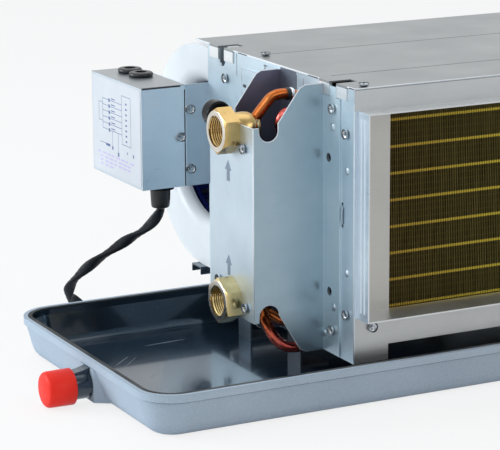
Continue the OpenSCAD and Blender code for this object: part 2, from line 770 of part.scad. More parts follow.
// Manual air vent behind the outlet connection
module air_vent_stem() color(brass) at_casing() difference() {
    rod_y(vent_x, [port_y, stem_end], vent_z, stem_d / 2);
    rod_x([-shroud_reach, neck_x], port_y, outlet_z, neck_d / 2);
}
module air_vent_knob() color(black_rubber) at_casing() translate([vent_x, knob_y, vent_z])
    rotate([-90, 0, 0]) rotate_extrude() difference() {
        union() {
            translate([0, 2]) square([knob_d / 2, knob_l - 4]);
            square([knob_d / 2 - 2, knob_l]);
            for (z = [2, knob_l - 2]) translate([knob_d / 2 - 2, z]) circle(r = 2);
        }
        translate([0, -1]) square([stem_d / 2 + knob_gap, stem_end - knob_y + 1 + knob_gap]);
        translate([0, -1]) square([knob_d / 2 - 3.5, 4.5]);
    }

// Volute: spiral shell with bell-mouth inlets, split level with the shaft
function scroll_outline(inset) = concat(
    [[deck_y, window_top - inset]],
    [for (a = [tongue_angle : -10 : -90])
        [fan_y, fan_z] + (scroll_at(a) - inset) * [cos(a), sin(a)]],
    [[deck_y, support_z + inset]]
);
module scroll_prism(x, inset) {
    translate([x[0], 0, 0]) rotate([90, 0, 90]) linear_extrude(x[1] - x[0]) polygon(scroll_outline(inset));
}
module bell_mouth() {
    rotate([0, 90, 0]) rotate_extrude() translate([bell_center, bell_r]) intersection() {
        difference() {
            circle(r = bell_r);
            circle(r = bell_r - volute_wall);
        }
        translate([-bell_r, -bell_r]) square(bell_r);
    }
}
module volute_shell() {
    inside = [volute_wall, volute_w - volute_wall];
    difference() {
        scroll_prism([0, volute_w], 0);
        scroll_prism(inside, volute_wall);
        block(inside, [deck_y - 1, deck_y + volute_wall],
            [support_z + volute_wall, window_top - volute_wall]);
        rod_x([-1, volute_w + 1], fan_y, fan_z, bell_center);
    }
    translate([0, fan_y, fan_z]) bell_mouth();
    translate([volute_w, fan_y, fan_z]) mirror([1, 0, 0]) bell_mouth();
}
module volute_half(x, z) color(white_plastic) at_casing() translate([x, 0, 0]) intersection() {
    volute_shell();
    block([-1, volute_w + 1], [deck_y - 1, fan_y + 2 * scroll_r], z);
}
module volute_left_upper() volute_half(volute_xs[0], [fan_z, casing_h]);
module volute_left_lower() volute_half(volute_xs[0], [0, fan_z]);
module volute_right_upper() volute_half(volute_xs[1], [fan_z, casing_h]);
module volute_right_lower() volute_half(volute_xs[1], [0, fan_z]);

// Forward-curved wheel: blades between two rims, a middle disc and a hub
function blade_side(offset) = [for (s = [0 : 0.25 : 1])
    let (r = wheel_r - blade_depth + blade_depth * s,
        a = blade_sweep * pow(s, 1.6) + offset / r * 180 / PI)
    r * [cos(a), sin(a)]];
function reversed(v) = [for (i = [len(v) - 1 : -1 : 0]) v[i]];
module blade_ring(length) {
    linear_extrude(length) for (i = [0 : blade_count - 1]) rotate(360 * i / blade_count)
        polygon(concat(blade_side(-blade_t / 2), reversed(blade_side(blade_t / 2))));
}
module wheel_rim() {
    rotate_extrude() translate([wheel_r - blade_depth, 0]) square([blade_depth + 0.5, rim_t]);
}
module fan_wheel(x) color(navy) at_casing() translate([x + wheel_in, fan_y, fan_z]) rotate([0, 90, 0])
    difference() {
        union() {
            translate([0, 0, rim_t]) blade_ring(wheel_l - 2 * rim_t);
            wheel_rim();
            translate([0, 0, wheel_l - rim_t]) wheel_rim();
            translate([0, 0, (wheel_l - rim_t) / 2]) cylinder(r = wheel_r - 0.5, h = rim_t);
            translate([0, 0, (wheel_l - hub_l) / 2]) cylinder(d = hub_d, h = hub_l);
        }
        translate([0, 0, -1]) cylinder(d = shaft_d, h = wheel_l + 2);
    }
module fan_wheel_left() fan_wheel(volute_xs[0]);
module fan_wheel_right() fan_wheel(volute_xs[1]);

// Motor on a rubber-ringed cradle between the volutes
shaft_x = [volute_xs[0] + volute_w / 2 - hub_l / 2 - shaft_over,
    volute_xs[1] + volute_w / 2 + hub_l / 2 + shaft_over];
core_in = 13;
core_gap = 0.5;
rotor_d = 58;
module motor_shaft() color([0.6, 0.6, 0.62]) at_casing() rod_x(shaft_x, fan_y, fan_z, shaft_d / 2);
module motor_rotor() color([0.45, 0.46, 0.48]) at_casing() difference() {
    rod_x([motor_x0 + core_in, motor_x1 - core_in], fan_y, fan_z, rotor_d / 2);
    rod_x([motor_x0, motor_x1], fan_y, fan_z, shaft_d / 2);
}
module motor_stator() color([0.5, 0.4, 0.3]) at_casing() difference() {
    rod_x([motor_x0 + core_in, motor_x1 - core_in], fan_y, fan_z, motor_d / 2 - bell_wall);
    rod_x([motor_x0, motor_x1], fan_y, fan_z, rotor_d / 2 + core_gap);
}
module motor_shell() color([0.3, 0.31, 0.33]) at_casing() difference() {
    rod_x([motor_x0, motor_x1], fan_y, fan_z, motor_d / 2);
    rod_x([motor_x0 - 1, motor_x1 + 1], fan_y, fan_z, motor_d / 2 - bell_wall);
}
module end_bell() {
    rotate([0, -90, 0]) rotate_extrude() difference() {
        polygon([
            [0, 0], [motor_d / 2, 0], [motor_d / 2, 2], [motor_d / 2 - 8, bell_t],
            [boss_d / 2, bell_t], [boss_d / 2, bell_t + boss_l], [0, bell_t + boss_l]
        ]);
        polygon([
            [0, -1], [motor_d / 2 - 6, -1], [motor_d / 2 - 10, bell_t - bell_wall],
            [0, bell_t - bell_wall]
        ]);
        square([bearing_d / 2, bell_t + boss_l - bell_wall]);
        square([shaft_d / 2 + 1, bell_t + boss_l + 1]);
    }
}
module motor_bell_left() color([0.42, 0.43, 0.45]) at_casing()
    translate([motor_x0, fan_y, fan_z]) end_bell();
module motor_bell_right() color([0.42, 0.43, 0.45]) at_casing()
    translate([motor_x1, fan_y, fan_z]) mirror([1, 0, 0]) end_bell();
module both_motor_ends() {
    children();
    translate([2 * motor_x, 0, 0]) mirror([1, 0, 0]) children();
}
bearing_x = motor_x0 - bell_t - boss_l + bell_wall;
module motor_bearings() color([0.7, 0.71, 0.73]) at_casing() both_motor_ends() difference() {
    rod_x([bearing_x, bearing_x + bearing_l], fan_y, fan_z, bearing_d / 2);
    rod_x([bearing_x - 1, bearing_x + bearing_l + 1], fan_y, fan_z, shaft_d / 2 + shaft_gap);
}
ring_x = [motor_x0 - bell_t - boss_l + 1, motor_x0 - bell_t - 1];
module motor_rubber_rings() color(black_rubber) at_casing() both_motor_ends() difference() {
    rod_x(ring_x, fan_y, fan_z, ring_d / 2);
    rod_x([ring_x[0] - 1, ring_x[1] + 1], fan_y, fan_z, boss_d / 2);
}

// Cradle: shelf on the deck with an upright saddle at each end of the motor
saddle_x = [ring_x[0] + 3, ring_x[1] - 3];
saddle_w = ring_d + 28;
cradle_t = 2;
cradle_x = [saddle_x[0], 2 * motor_x - saddle_x[0]];
module motor_cradle() color(galvanised) at_casing() {
    block(cradle_x, [deck_y, fan_y + saddle_w / 2], [cradle_z - cradle_t, cradle_z]);
    block(cradle_x, [deck_y, deck_y + cradle_t], [cradle_z - 26, cradle_z]);
    both_motor_ends() difference() {
        block(saddle_x, [fan_y - saddle_w / 2, fan_y + saddle_w / 2], [cradle_z - cradle_t, fan_z]);
        rod_x([saddle_x[0] - 1, saddle_x[1] + 1], fan_y, fan_z, ring_d / 2);
    }
}
strap_t = 1.5;
module motor_straps() color(galvanised) at_casing() both_motor_ends() difference() {
    union() {
        rod_x(saddle_x, fan_y, fan_z, ring_d / 2 + strap_t);
        block(saddle_x, [fan_y - saddle_w / 2, fan_y + saddle_w / 2], [fan_z, fan_z + strap_t]);
    }
    rod_x([saddle_x[0] - 1, saddle_x[1] + 1], fan_y, fan_z, ring_d / 2);
    block([saddle_x[0] - 1, saddle_x[1] + 1], [fan_y - saddle_w, fan_y + saddle_w], [fan_z - ring_d, fan_z]);
}

// Gland on the motor's back and the lead that joins it to the box
gland_r = 6.5;
module motor_gland() color(black_rubber) at_casing() difference() {
    union() {
        rod_y(motor_x, [fan_y + motor_d / 2 - 3, fan_y + motor_d / 2 + gland_l], fan_z, gland_r);
        rod_y(motor_x, [fan_y + motor_d / 2 - 3, fan_y + motor_d / 2 + 4], fan_z, gland_r + 3);
    }
    rod_x([motor_x0, motor_x1], fan_y, fan_z, motor_d / 2);
}
lead_steps = 3;
lead_sides = 10;
module motor_lead() color(black_rubber) at_casing()
    swept_tube(smooth_path(lead_route, lead_steps), cord_d / 2, lead_sides);

// Electrical box: base with top and bottom, cover with label face and sides
flap = 0.8;
module box_base() color(galvanised) at_casing() difference() {
    inner_y = [box_y[0] + sheet, box_y[1] - sheet];
    union() {
        block([box_x[1] - sheet, box_x[1]], inner_y, box_zs);
        block([box_x[0] + sheet, box_x[1]], inner_y, [box_zs[0], box_zs[0] + sheet]);
        block([box_x[0] + sheet, box_x[1]], inner_y, [box_zs[1] - sheet, box_zs[1]]);
    }
    for (y = grommet_ys)
        rod_z(grommet_x, y, [box_zs[1] - sheet - 1, box_zs[1] + 1], grommet_hole_r);
    rod_z(bushing_x, bushing_y, [box_zs[0] - 1, box_zs[0] + sheet + 1], bushing_r);
}
module box_cover() color(galvanised) at_casing() {
    block([box_x[0], box_x[0] + sheet], box_y, box_zs);
    for (y = [box_y[0], box_y[1] - sheet])
        block([box_x[0], box_x[1]], [y, y + sheet], [box_zs[0], box_zs[1] - flap]);
}
bracket_reach = 15;
bracket_side = 88;
module box_bracket() color(galvanised) at_casing() {
    block([box_x[1], bracket_reach], [casing_d, casing_d + sheet], box_zs);
    block([box_x[1], box_x[1] + sheet], [casing_d, casing_d + bracket_side], box_zs);
}
module box_grommets() color(black_rubber) at_casing() for (y = grommet_ys)
    translate([grommet_x, y, box_zs[1] - sheet - 2]) rotate_extrude() difference() {
        union() {
            square([grommet_hole_r + 1.5, 2]);
            square([grommet_hole_r, 2 + sheet + 2]);
            translate([0, 2 + sheet]) square([grommet_hole_r + 1, 4]);
            translate([grommet_hole_r + 1, 4 + sheet]) circle(r = 2);
        }
        translate([0, -1]) square([grommet_hole_r - 2.5, 12]);
    }
module cable_bushing() color(black_rubber) at_casing() translate([bushing_x, bushing_y, box_zs[0] - bushing_h])
    rotate_extrude() polygon([
        [0, 0], [bushing_r - 1, 0], [bushing_r - 0.3, 1.5], [bushing_r, bushing_h - bushing_flange_h],
        [bushing_flange_r, bushing_h - bushing_flange_h], [bushing_flange_r, bushing_h],
        [bushing_r, bushing_h], [bushing_r, bushing_h + sheet + 2], [0, bushing_h + sheet + 2]
    ]);

// Inside the box: terminals and the motor's run capacitor, on the base
terminal_size = [16, 64, 18];
terminal_pitch = 8;
terminal_at = [box_x[1] - sheet - terminal_size[0], box_y[0] + 22, box_zs[0] + 18];
module terminal_block() color([0.9, 0.9, 0.86]) at_casing() translate(terminal_at) difference() {
    cube(terminal_size);
    for (i = [0 : terminal_size[1] / terminal_pitch - 1])
        translate([-1, (i + 0.5) * terminal_pitch, terminal_size[2] / 2]) rotate([0, 90, 0])
            cylinder(r = 2.2, h = 7);
}
capacitor_size = [20, 38, 28];
module capacitor() color([0.85, 0.86, 0.84]) at_casing()
    translate([box_x[1] - sheet - capacitor_size[0], box_y[0] + 30, box_zs[0] + 46]) cube(capacitor_size);

// Pan-head screws, seated on the sheet they hold
module screw_head() {
    rotate_extrude() intersection() {
        square([head_r, head_h]);
        translate([0, head_h - 5.2]) circle(r = 5.2);
    }
}
module head_left(x, y, z) {
    translate([x, y, z]) rotate([0, -90, 0]) screw_head();
}
module head_front(x, y, z) {
    translate([x, y, z]) rotate([90, 0, 0]) screw_head();
}
plate_screw_at = [[11.5, casing_h - 35.4], [10.5, 37], [deck_y + 7, casing_h - 24], [deck_y + 7, 20]];
module plate_screws() color(galvanised) at_casing() both_ends()
    for (p = plate_screw_at) head_left(0, p[0], p[1]);
module front_screws() color(galvanised) at_casing() both_ends() {
    head_front(16.3, 0, collar_z - 8);
    head_front(casing_l / 4, 0, collar_z - 8);
}
top_screw_x = 11;
top_screw_ys = [5.3, crease_ys[1] - 4.7];
module top_screws() color(galvanised) at_casing() both_ends() for (y = top_screw_ys)
    translate([top_screw_x, y, casing_h + sheet]) screw_head();
module shroud_screws() color(galvanised) at_casing() {
    middle = 2 * port_y;
    flange_y = shroud_y - 15.5;
    for (y = [flange_y, middle - flange_y], z = [20, casing_h - 19]) head_left(-sheet, y, z);
    for (p = [[port_y - 22, outlet_z - 11], [port_y - 24, inlet_z - 2], [port_y + 22, inlet_z + 11]])
        head_left(-shroud_reach, p[0], p[1]);
}
module box_screws() color(galvanised) at_casing() {
    head_front(box_x[1] - 4.5, box_y[0], box_zs[0] + 43);
    for (z = [box_zs[0] + 20, box_zs[1] - 20])
        translate([6, casing_d + sheet, z]) rotate([-90, 0, 0]) screw_head();
    for (z = [box_zs[0] + 15, box_zs[1] - 21]) head_front(-box_off + 4.6, casing_d, z);
}
module deck_screws() color(galvanised) at_casing() 
    for (x = volute_xs, dx = [-5, volute_w + 5], z = [fan_z - 70, fan_z + 40])
    translate([x + dx, deck_y, z]) rotate([-90, 0, 0]) screw_head();

drain_pan();
pan_foam();
drain_stub();
drain_cap();
pan_brackets();
left_end_plate();
right_end_plate();
top_panel();
outlet_collar();
front_rail();
fan_deck();
fan_support();
tube_sheet_left();
tube_sheet_right();
coil_fins();
coil_tubes();
return_bends_left();
return_bends_right();
header_shroud();
header_out();
header_in();
feeder_out_upper();
feeder_out_lower();
feeder_in_front();
feeder_in_back();
air_vent_stem();
air_vent_knob();
volute_left_upper();
volute_left_lower();
volute_right_upper();
volute_right_lower();
fan_wheel_left();
fan_wheel_right();
motor_shaft();
motor_rotor();
motor_stator();
motor_shell();
motor_bell_left();
motor_bell_right();
motor_bearings();
motor_rubber_rings();
motor_cradle();
motor_straps();
motor_gland();
motor_lead();
box_base();
box_cover();
box_bracket();
box_grommets();
cable_bushing();
terminal_block();
capacitor();
plate_screws();
front_screws();
top_screws();
shroud_screws();
box_screws();
deck_screws();
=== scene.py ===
"""Looks of the fan coil unit: camera, cord, light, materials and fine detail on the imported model."""
import json
import math

import bmesh
import bpy
from mathutils import Matrix, Vector


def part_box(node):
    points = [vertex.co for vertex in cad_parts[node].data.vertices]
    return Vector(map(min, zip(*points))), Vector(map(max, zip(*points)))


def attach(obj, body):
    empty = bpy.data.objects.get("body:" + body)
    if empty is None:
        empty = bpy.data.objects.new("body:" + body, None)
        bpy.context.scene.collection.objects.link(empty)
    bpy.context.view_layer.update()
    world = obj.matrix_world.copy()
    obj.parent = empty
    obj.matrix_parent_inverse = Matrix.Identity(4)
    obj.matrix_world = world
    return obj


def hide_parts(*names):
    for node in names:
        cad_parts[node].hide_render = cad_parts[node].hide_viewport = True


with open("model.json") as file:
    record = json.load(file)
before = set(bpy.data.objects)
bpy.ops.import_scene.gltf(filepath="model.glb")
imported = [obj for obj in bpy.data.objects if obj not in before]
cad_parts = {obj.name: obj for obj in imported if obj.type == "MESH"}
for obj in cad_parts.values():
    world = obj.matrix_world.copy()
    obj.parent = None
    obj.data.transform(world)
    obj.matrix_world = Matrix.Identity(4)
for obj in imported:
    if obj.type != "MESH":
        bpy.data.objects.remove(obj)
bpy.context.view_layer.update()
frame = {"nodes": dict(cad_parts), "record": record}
nodes = frame["nodes"]

MM = 0.001
ROOT = "casing"
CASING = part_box("left_end_plate")[0]


def at(x, y, z):
    """A point given in millimetres from the casing's corner, in the row frame."""
    return CASING + Vector((x, y, z)) * MM


# Camera, as fitted to the photograph
IMAGE_W = 500
FOCAL_PX = 2382.5
SENSOR_MM = 36.0
CAMERA_AZIMUTH = -27.03
CAMERA_ELEVATION = 13.57
CAMERA_ROLL = 0.36
CASING_IN_VIEW = Vector((79.45, -107.31, -1831.7))


def make_camera():
    azimuth = math.radians(CAMERA_AZIMUTH)
    elevation = math.radians(CAMERA_ELEVATION)
    level = math.cos(elevation)
    back = Vector((math.sin(azimuth) * level, -math.cos(azimuth) * level, math.sin(elevation)))
    right = Vector((math.cos(azimuth), math.sin(azimuth), 0))
    turn = Matrix((right, back.cross(right), back))
    turn = Matrix.Rotation(math.radians(CAMERA_ROLL), 3, "Z") @ turn
    data = bpy.data.cameras.new("camera")
    data.sensor_fit = "HORIZONTAL"
    data.sensor_width = SENSOR_MM
    data.lens = FOCAL_PX * SENSOR_MM / IMAGE_W
    camera = bpy.data.objects.new("camera", data)
    place = turn.transposed() @ -CASING_IN_VIEW
    camera.matrix_world = Matrix.Translation(at(*place)) @ turn.transposed().to_4x4()
    bpy.context.scene.collection.objects.link(camera)
    bpy.context.scene.camera = camera


make_camera()


# Node helpers
def add(tree, kind, inputs=None, **settings):
    """A shader node with its settings and inputs; an input may be a value or another node's socket."""
    made = tree.nodes.new(kind)
    for name, value in settings.items():
        setattr(made, name, value)
    for name, value in (inputs or {}).items():
        if isinstance(value, bpy.types.NodeSocket):
            tree.links.new(value, made.inputs[name])
        else:
            made.inputs[name].default_value = value
    return made


def new_material(name, **values):
    """A material with one principled shader, and the object coordinates to drive its textures."""
    material = bpy.data.materials.new(name)
    material.use_nodes = True
    tree = material.node_tree
    tree.nodes.clear()
    shader = add(tree, "ShaderNodeBsdfPrincipled")
    for key, value in values.items():
        shader.inputs[key.replace("_", " ").title().replace("Ior", "IOR")].default_value = value
    out = add(tree, "ShaderNodeOutputMaterial")
    tree.links.new(shader.outputs["BSDF"], out.inputs["Surface"])
    place = add(tree, "ShaderNodeTexCoord").outputs["Object"]
    return material, tree, shader, place


def stretched(tree, place, scale):
    return add(tree, "ShaderNodeMapping", {"Vector": place, "Scale": scale}).outputs["Vector"]


def noise(tree, place, scale, detail=3.0, roughness=0.55):
    return add(tree, "ShaderNodeTexNoise",
               {"Vector": place, "Scale": scale, "Detail": detail, "Roughness": roughness}).outputs["Fac"]


def ramp(tree, factor, stops):
    """A colour ramp from (position, colour) stops."""
    made = add(tree, "ShaderNodeValToRGB", {"Fac": factor})
    elements = made.color_ramp.elements
    while len(elements) < len(stops):
        elements.new(0.5)
    for element, (position, colour) in zip(elements, stops):
        element.position = position
        element.color = (*colour, 1) if len(colour) == 3 else colour
    return made.outputs["Color"]


def levels(tree, factor, low, high, start=0.3, end=0.7):
    """Maps a texture's middle range on to low..high."""
    return add(tree, "ShaderNodeMapRange", {
        "Value": factor, "From Min": start, "From Max": end, "To Min": low, "To Max": high,
    }).outputs["Result"]


def mixed(tree, factor, first, second, kind="MIX"):
    made = add(tree, "ShaderNodeMix", data_type="RGBA", blend_type=kind)
    for socket, value in ((made.inputs[0], factor), (made.inputs[6], first), (made.inputs[7], second)):
        if isinstance(value, bpy.types.NodeSocket):
            tree.links.new(value, socket)
        else:
            socket.default_value = value if isinstance(value, float) else (*value, 1)
    return made.outputs[2]


def calc(tree, kind, *values, clamp=False):
    """The result of a maths node."""
    return add(tree, "ShaderNodeMath", dict(enumerate(values)), operation=kind, use_clamp=clamp).outputs[0]


def zone(tree, place, low, high):
    """1 inside a box given in millimetres of the casing, else 0."""
    spot = add(tree, "ShaderNodeSeparateXYZ", {"Vector": place}).outputs
    inside = None
    for axis, start, end in zip("XYZ", at(*low), at(*high)):
        middle = (start + end) / 2
        half = abs(end - start) / 2
        away = calc(tree, "ABSOLUTE", calc(tree, "SUBTRACT", spot[axis], middle))
        near = calc(tree, "LESS_THAN", away, half)
        inside = near if inside is None else calc(tree, "MULTIPLY", inside, near)
    return inside


def band(tree, place, low, high):
    """1 between two heights, over the whole of the part, else 0."""
    return zone(tree, place, (-400, -400, low), (900, 500, high))


def join(tree, source, shader, name):
    tree.links.new(source, shader.inputs[name])


def bump(tree, shader, height, strength, distance):
    made = add(tree, "ShaderNodeBump", {"Height": height, "Strength": strength, "Distance": distance})
    join(tree, made.outputs["Normal"], shader, "Normal")


# Header shroud and connections, in millimetres of the casing
FACE_X = -62.0
FACE_EDGE = -61.4
FACE_LOW = 29.0
FACE_TOP = 182
SHROUD_WALLS = (46.6, 119.4)
PIPE_Y = 83
PIPE_OUT = 175.4
PIPE_IN = 40.7

# Drain pan, in millimetres of the casing; the rim's bands are measured in from its outer edge
PAN_X = (-179, 665)
PAN_Y = (-20, 256)
PAN_CORNER = 30
TRAY_FLOOR = -26.6
RIM_ZONE = (2.6, 5)
RIM_TOP = 4.05
RIM_FOAM = 3.3
RIM_WIDE = 6.9
LIP_LOW = -2
CREASE = 0.9

# Fin pack, in millimetres of the casing
FIN_PITCH = 1.6
FIN_HALF = 0.14
FIN_LINE_HALF = 0.5
FIN_LINE_REACH = (0.9, 1.5)
FIN_DEPTH = 4.0
ROW_PITCH = 21.0
ROW_COUNT = 8
FIRST_ROW = 38.6


# Materials
def galvanised(name, dark, light, metallic=0.8, painted_light_zones=()):
    """Zinc-coated sheet: fine grain, faint rolling streaks, spangle and handling smudges; the zones are boxes
    (low, high, dark, light) whose tones paint the light and shade that fall on those parts of the piece."""
    material, tree, shader, place = new_material(name, metallic=metallic)
    spangle = add(tree, "ShaderNodeTexVoronoi", {"Vector": place, "Scale": 130.0}).outputs["Color"]
    spangle = add(tree, "ShaderNodeSeparateColor", {"Color": spangle}).outputs[0]
    grain = noise(tree, place, 1500.0, 1.0)
    streak = noise(tree, stretched(tree, place, (6, 6, 220)), 3.0, 2.0)
    smudge = noise(tree, place, 14.0, 4.0)
    tone = ramp(tree, smudge, [(0.3, dark), (0.7, light)])
    for low, high, zone_dark, zone_light in painted_light_zones:
        painted_tone = ramp(tree, smudge, [(0.3, zone_dark), (0.7, zone_light)])
        tone = mixed(tree, zone(tree, place, low, high), tone, painted_tone)
    tone = mixed(tree, 0.10, tone, ramp(tree, spangle, [(0.0, dark), (1.0, light)]))
    tone = mixed(tree, 0.16, tone, ramp(tree, grain, [(0.35, dark), (0.65, light)]))
    join(tree, tone, shader, "Base Color")
    rough = calc(tree, "ADD", levels(tree, smudge, 0.28, 0.40), levels(tree, streak, -0.03, 0.05))
    join(tree, rough, shader, "Roughness")
    bump(tree, shader, grain, 0.12, 0.0004)
    return material


FOAM_TONE = [(0.3, (0.39, 0.47, 0.56)), (0.7, (0.46, 0.54, 0.63))]


def painted_tray():
    """Glossy dark paint with fine orange peel and dust; matt on the rim, with foam on its outer side."""
    material, tree, shader, place = new_material("tray_paint", specular_ior_level=0.5, coat_roughness=0.06,
                                                 coat_tint=(0.72, 0.87, 1.0, 1),
                                                 specular_tint=(0.75, 0.88, 1.0, 1))
    dust = noise(tree, place, 900.0, 2.0)
    cloud = noise(tree, place, 9.0, 4.0)
    tone = ramp(tree, cloud, [(0.3, (0.010, 0.017, 0.026)), (0.7, (0.020, 0.031, 0.043))])
    speck = ramp(tree, dust, [(0.68, (0, 0, 0)), (0.76, (1, 1, 1))])
    rim = band(tree, place, *RIM_ZONE)
    normal = add(tree, "ShaderNodeTexCoord").outputs["Normal"]
    outward = add(tree, "ShaderNodeVectorMath", {0: place, 1: normal}, operation="DOT_PRODUCT")
    facing = calc(tree, "GREATER_THAN", outward.outputs["Value"], 0.08)
    sprayed = calc(tree, "MULTIPLY", rim, facing)
    tone = mixed(tree, speck, tone, (0.10, 0.12, 0.14))
    join(tree, mixed(tree, sprayed, tone, ramp(tree, cloud, FOAM_TONE)), shader, "Base Color")
    join(tree, calc(tree, "MAXIMUM", levels(tree, cloud, 0.12, 0.24), rim), shader, "Roughness")
    join(tree, calc(tree, "SUBTRACT", 0.6, rim, clamp=True), shader, "Coat Weight")
    bump(tree, shader, noise(tree, place, 260.0, 2.0), 0.05, 0.0005)
    return material


def foam_skin():
    """Sprayed foam skin: matte, speckled light blue-grey with soft stains, and painted shade in a dark band
    along the crease below the lip.
    """
    material, tree, shader, place = new_material("foam_skin", specular_ior_level=0.25)
    grain = noise(tree, place, 1100.0, 2.0)
    cloud = noise(tree, place, 11.0, 4.0)
    speckle = ramp(tree, grain, [(0.36, (0.26, 0.32, 0.39)), (0.62, (0.62, 0.70, 0.79))])
    tone = mixed(tree, 0.18, ramp(tree, cloud, FOAM_TONE), speckle)
    # Painted shade: a darker band along the crease under the lip
    shade = ramp(tree, cloud, [(0.3, (0.10, 0.13, 0.16)), (0.7, (0.20, 0.24, 0.29))])
    tone = mixed(tree, band(tree, place, LIP_LOW - CREASE, LIP_LOW), tone, shade)
    join(tree, tone, shader, "Base Color")
    join(tree, levels(tree, grain, 0.6, 0.8), shader, "Roughness")
    bump(tree, shader, grain, 0.35, 0.0006)
    return material


def machined_brass():
    """Turned brass, dull gold, paler at the lower connection, with a painted reflection, pale and grey, on
    the faces of both mouths.
    """
    material, tree, shader, place = new_material("brass_machined", metallic=1.0)
    turned = noise(tree, stretched(tree, place, (1800, 60, 60)), 1.0, 2.0)
    stain = noise(tree, place, 60.0, 4.0)
    tone = ramp(tree, stain, [(0.3, (0.45, 0.31, 0.12)), (0.7, (0.66, 0.47, 0.20))])
    pale = ramp(tree, stain, [(0.3, (0.54, 0.43, 0.20)), (0.7, (0.76, 0.62, 0.33))])
    tone = mixed(tree, zone(tree, place, (-80, 60, 0), (-30, 106, 60)), tone, pale)
    # Painted reflection: a pale grey tone on the faces of both mouths
    mouth_reflection = ramp(tree, stain, [(0.3, (0.60, 0.56, 0.49)), (0.7, (0.80, 0.77, 0.70))])
    tone = mixed(tree, zone(tree, place, (-77, 60, 0), (-75.2, 106, 214)), tone, mouth_reflection)
    join(tree, tone, shader, "Base Color")
    join(tree, levels(tree, stain, 0.16, 0.28), shader, "Roughness")
    bump(tree, shader, turned, 0.10, 0.0003)
    return material


def copper_tube():
    """Drawn copper with an orange heat tint, rosy on the low feeders and on one bend at the top."""
    material, tree, shader, place = new_material("copper_tinted", metallic=1.0)
    stain = noise(tree, place, 55.0, 3.0)
    drawn = noise(tree, stretched(tree, place, (30, 400, 400)), 1.0, 2.0)
    tone = ramp(tree, stain, [(0.30, (0.26, 0.065, 0.02)), (0.5, (0.50, 0.13, 0.03)),
                              (0.64, (0.62, 0.21, 0.055)), (0.76, (0.52, 0.09, 0.07))])
    rosy = ramp(tree, stain, [(0.3, (0.42, 0.06, 0.05)), (0.7, (0.62, 0.14, 0.12))])
    height = add(tree, "ShaderNodeSeparateXYZ", {"Vector": place}).outputs["Z"]
    fade = levels(tree, height, 1.0, 0.0, at(0, 0, 6).z, at(0, 0, 26).z)
    near = zone(tree, place, (-60, 30, -10), (4, 110, 30))
    behind = zone(tree, place, (-40, 58, 165), (0, 74, 196))
    blush = calc(tree, "MAXIMUM", calc(tree, "MULTIPLY", fade, near), behind)
    join(tree, mixed(tree, blush, tone, rosy), shader, "Base Color")
    join(tree, levels(tree, drawn, 0.20, 0.34), shader, "Roughness")
    return material


def moulded(name, dark, light, rough=(0.3, 0.45), grain_scale=700.0, relief=0.06, **values):
    """Moulded plastic or rubber: slight cloudiness, fine moulding grain."""
    material, tree, shader, place = new_material(name, **values)
    cloud = noise(tree, place, 24.0, 3.0)
    grain = noise(tree, place, grain_scale, 2.0)
    join(tree, ramp(tree, cloud, [(0.3, dark), (0.7, light)]), shader, "Base Color")
    join(tree, levels(tree, grain, *rough), shader, "Roughness")
    bump(tree, shader, grain, relief, 0.0004)
    return material


def metal(name, dark, light, rough=(0.2, 0.35), scale=40.0):
    """Bare metal with soft stains and a fine grain."""
    material, tree, shader, place = new_material(name, metallic=1.0)
    stain = noise(tree, place, scale, 4.0)
    join(tree, ramp(tree, stain, [(0.3, dark), (0.7, light)]), shader, "Base Color")
    join(tree, levels(tree, stain, *rough), shader, "Roughness")
    bump(tree, shader, noise(tree, place, 900.0, 1.0), 0.05, 0.0003)
    return material


def gold_foil():
    """Gold-coated fins: brown to olive between the rows, a bright line at each row, faint ripples."""
    material, tree, shader, place = new_material("fin_gold", metallic=0.85)
    spot = add(tree, "ShaderNodeSeparateXYZ", {"Vector": place}).outputs
    row = calc(tree, "SUBTRACT", spot["Z"], at(0, 0, FIRST_ROW).z)
    away = calc(tree, "PINGPONG", row, ROW_PITCH * MM / 2)
    ripple = calc(tree, "PINGPONG", row, ROW_PITCH * MM / 8)
    cloud = noise(tree, stretched(tree, place, (300, 20, 20)), 1.0, 3.0)
    inward = levels(tree, spot["X"], 0.0, 1.0, at(20, 0, 0).x, at(150, 0, 0).x)
    brown = ramp(tree, cloud, [(0.3, (0.10, 0.07, 0.022)), (0.7, (0.20, 0.15, 0.05))])
    olive = ramp(tree, cloud, [(0.3, (0.13, 0.105, 0.030)), (0.7, (0.24, 0.21, 0.07))])
    tone = mixed(tree, inward, brown, olive)
    faint = levels(tree, ripple, 0.35, 0.0, 0.0002, 0.0008)
    tone = mixed(tree, faint, tone, (0.30, 0.24, 0.065))
    pressed = mixed(tree, inward, (0.33, 0.20, 0.028), (0.52, 0.41, 0.04))
    tone = mixed(tree, levels(tree, away, 1.0, 0.0, 0.0006, 0.0013), tone, pressed)
    join(tree, tone, shader, "Base Color")
    join(tree, levels(tree, cloud, 0.30, 0.42), shader, "Roughness")
    return material


SHEET = galvanised("sheet_zinc", (0.55, 0.58, 0.60), (0.68, 0.70, 0.71))
# Darker copies of the zinc: painted shade on the front rail and on the left tube sheet inside the collar
RAIL_SHADED = galvanised("sheet_zinc_rail_shaded", (0.40, 0.41, 0.42), (0.52, 0.53, 0.53))
STRIP_SHADED = galvanised("sheet_zinc_strip_shaded", (0.40, 0.40, 0.385), (0.50, 0.49, 0.47))
# Collar: its zone paints the light falling on its -X side, lighter and bluish; the seam strip beside it takes
# the same painted light
COLLAR = galvanised("sheet_zinc_collar", (0.55, 0.57, 0.58), (0.66, 0.68, 0.69), painted_light_zones=[
    ((-2, -60, 0), (3.4, 30, 199), (0.66, 0.77, 0.88), (0.80, 0.89, 0.97))])
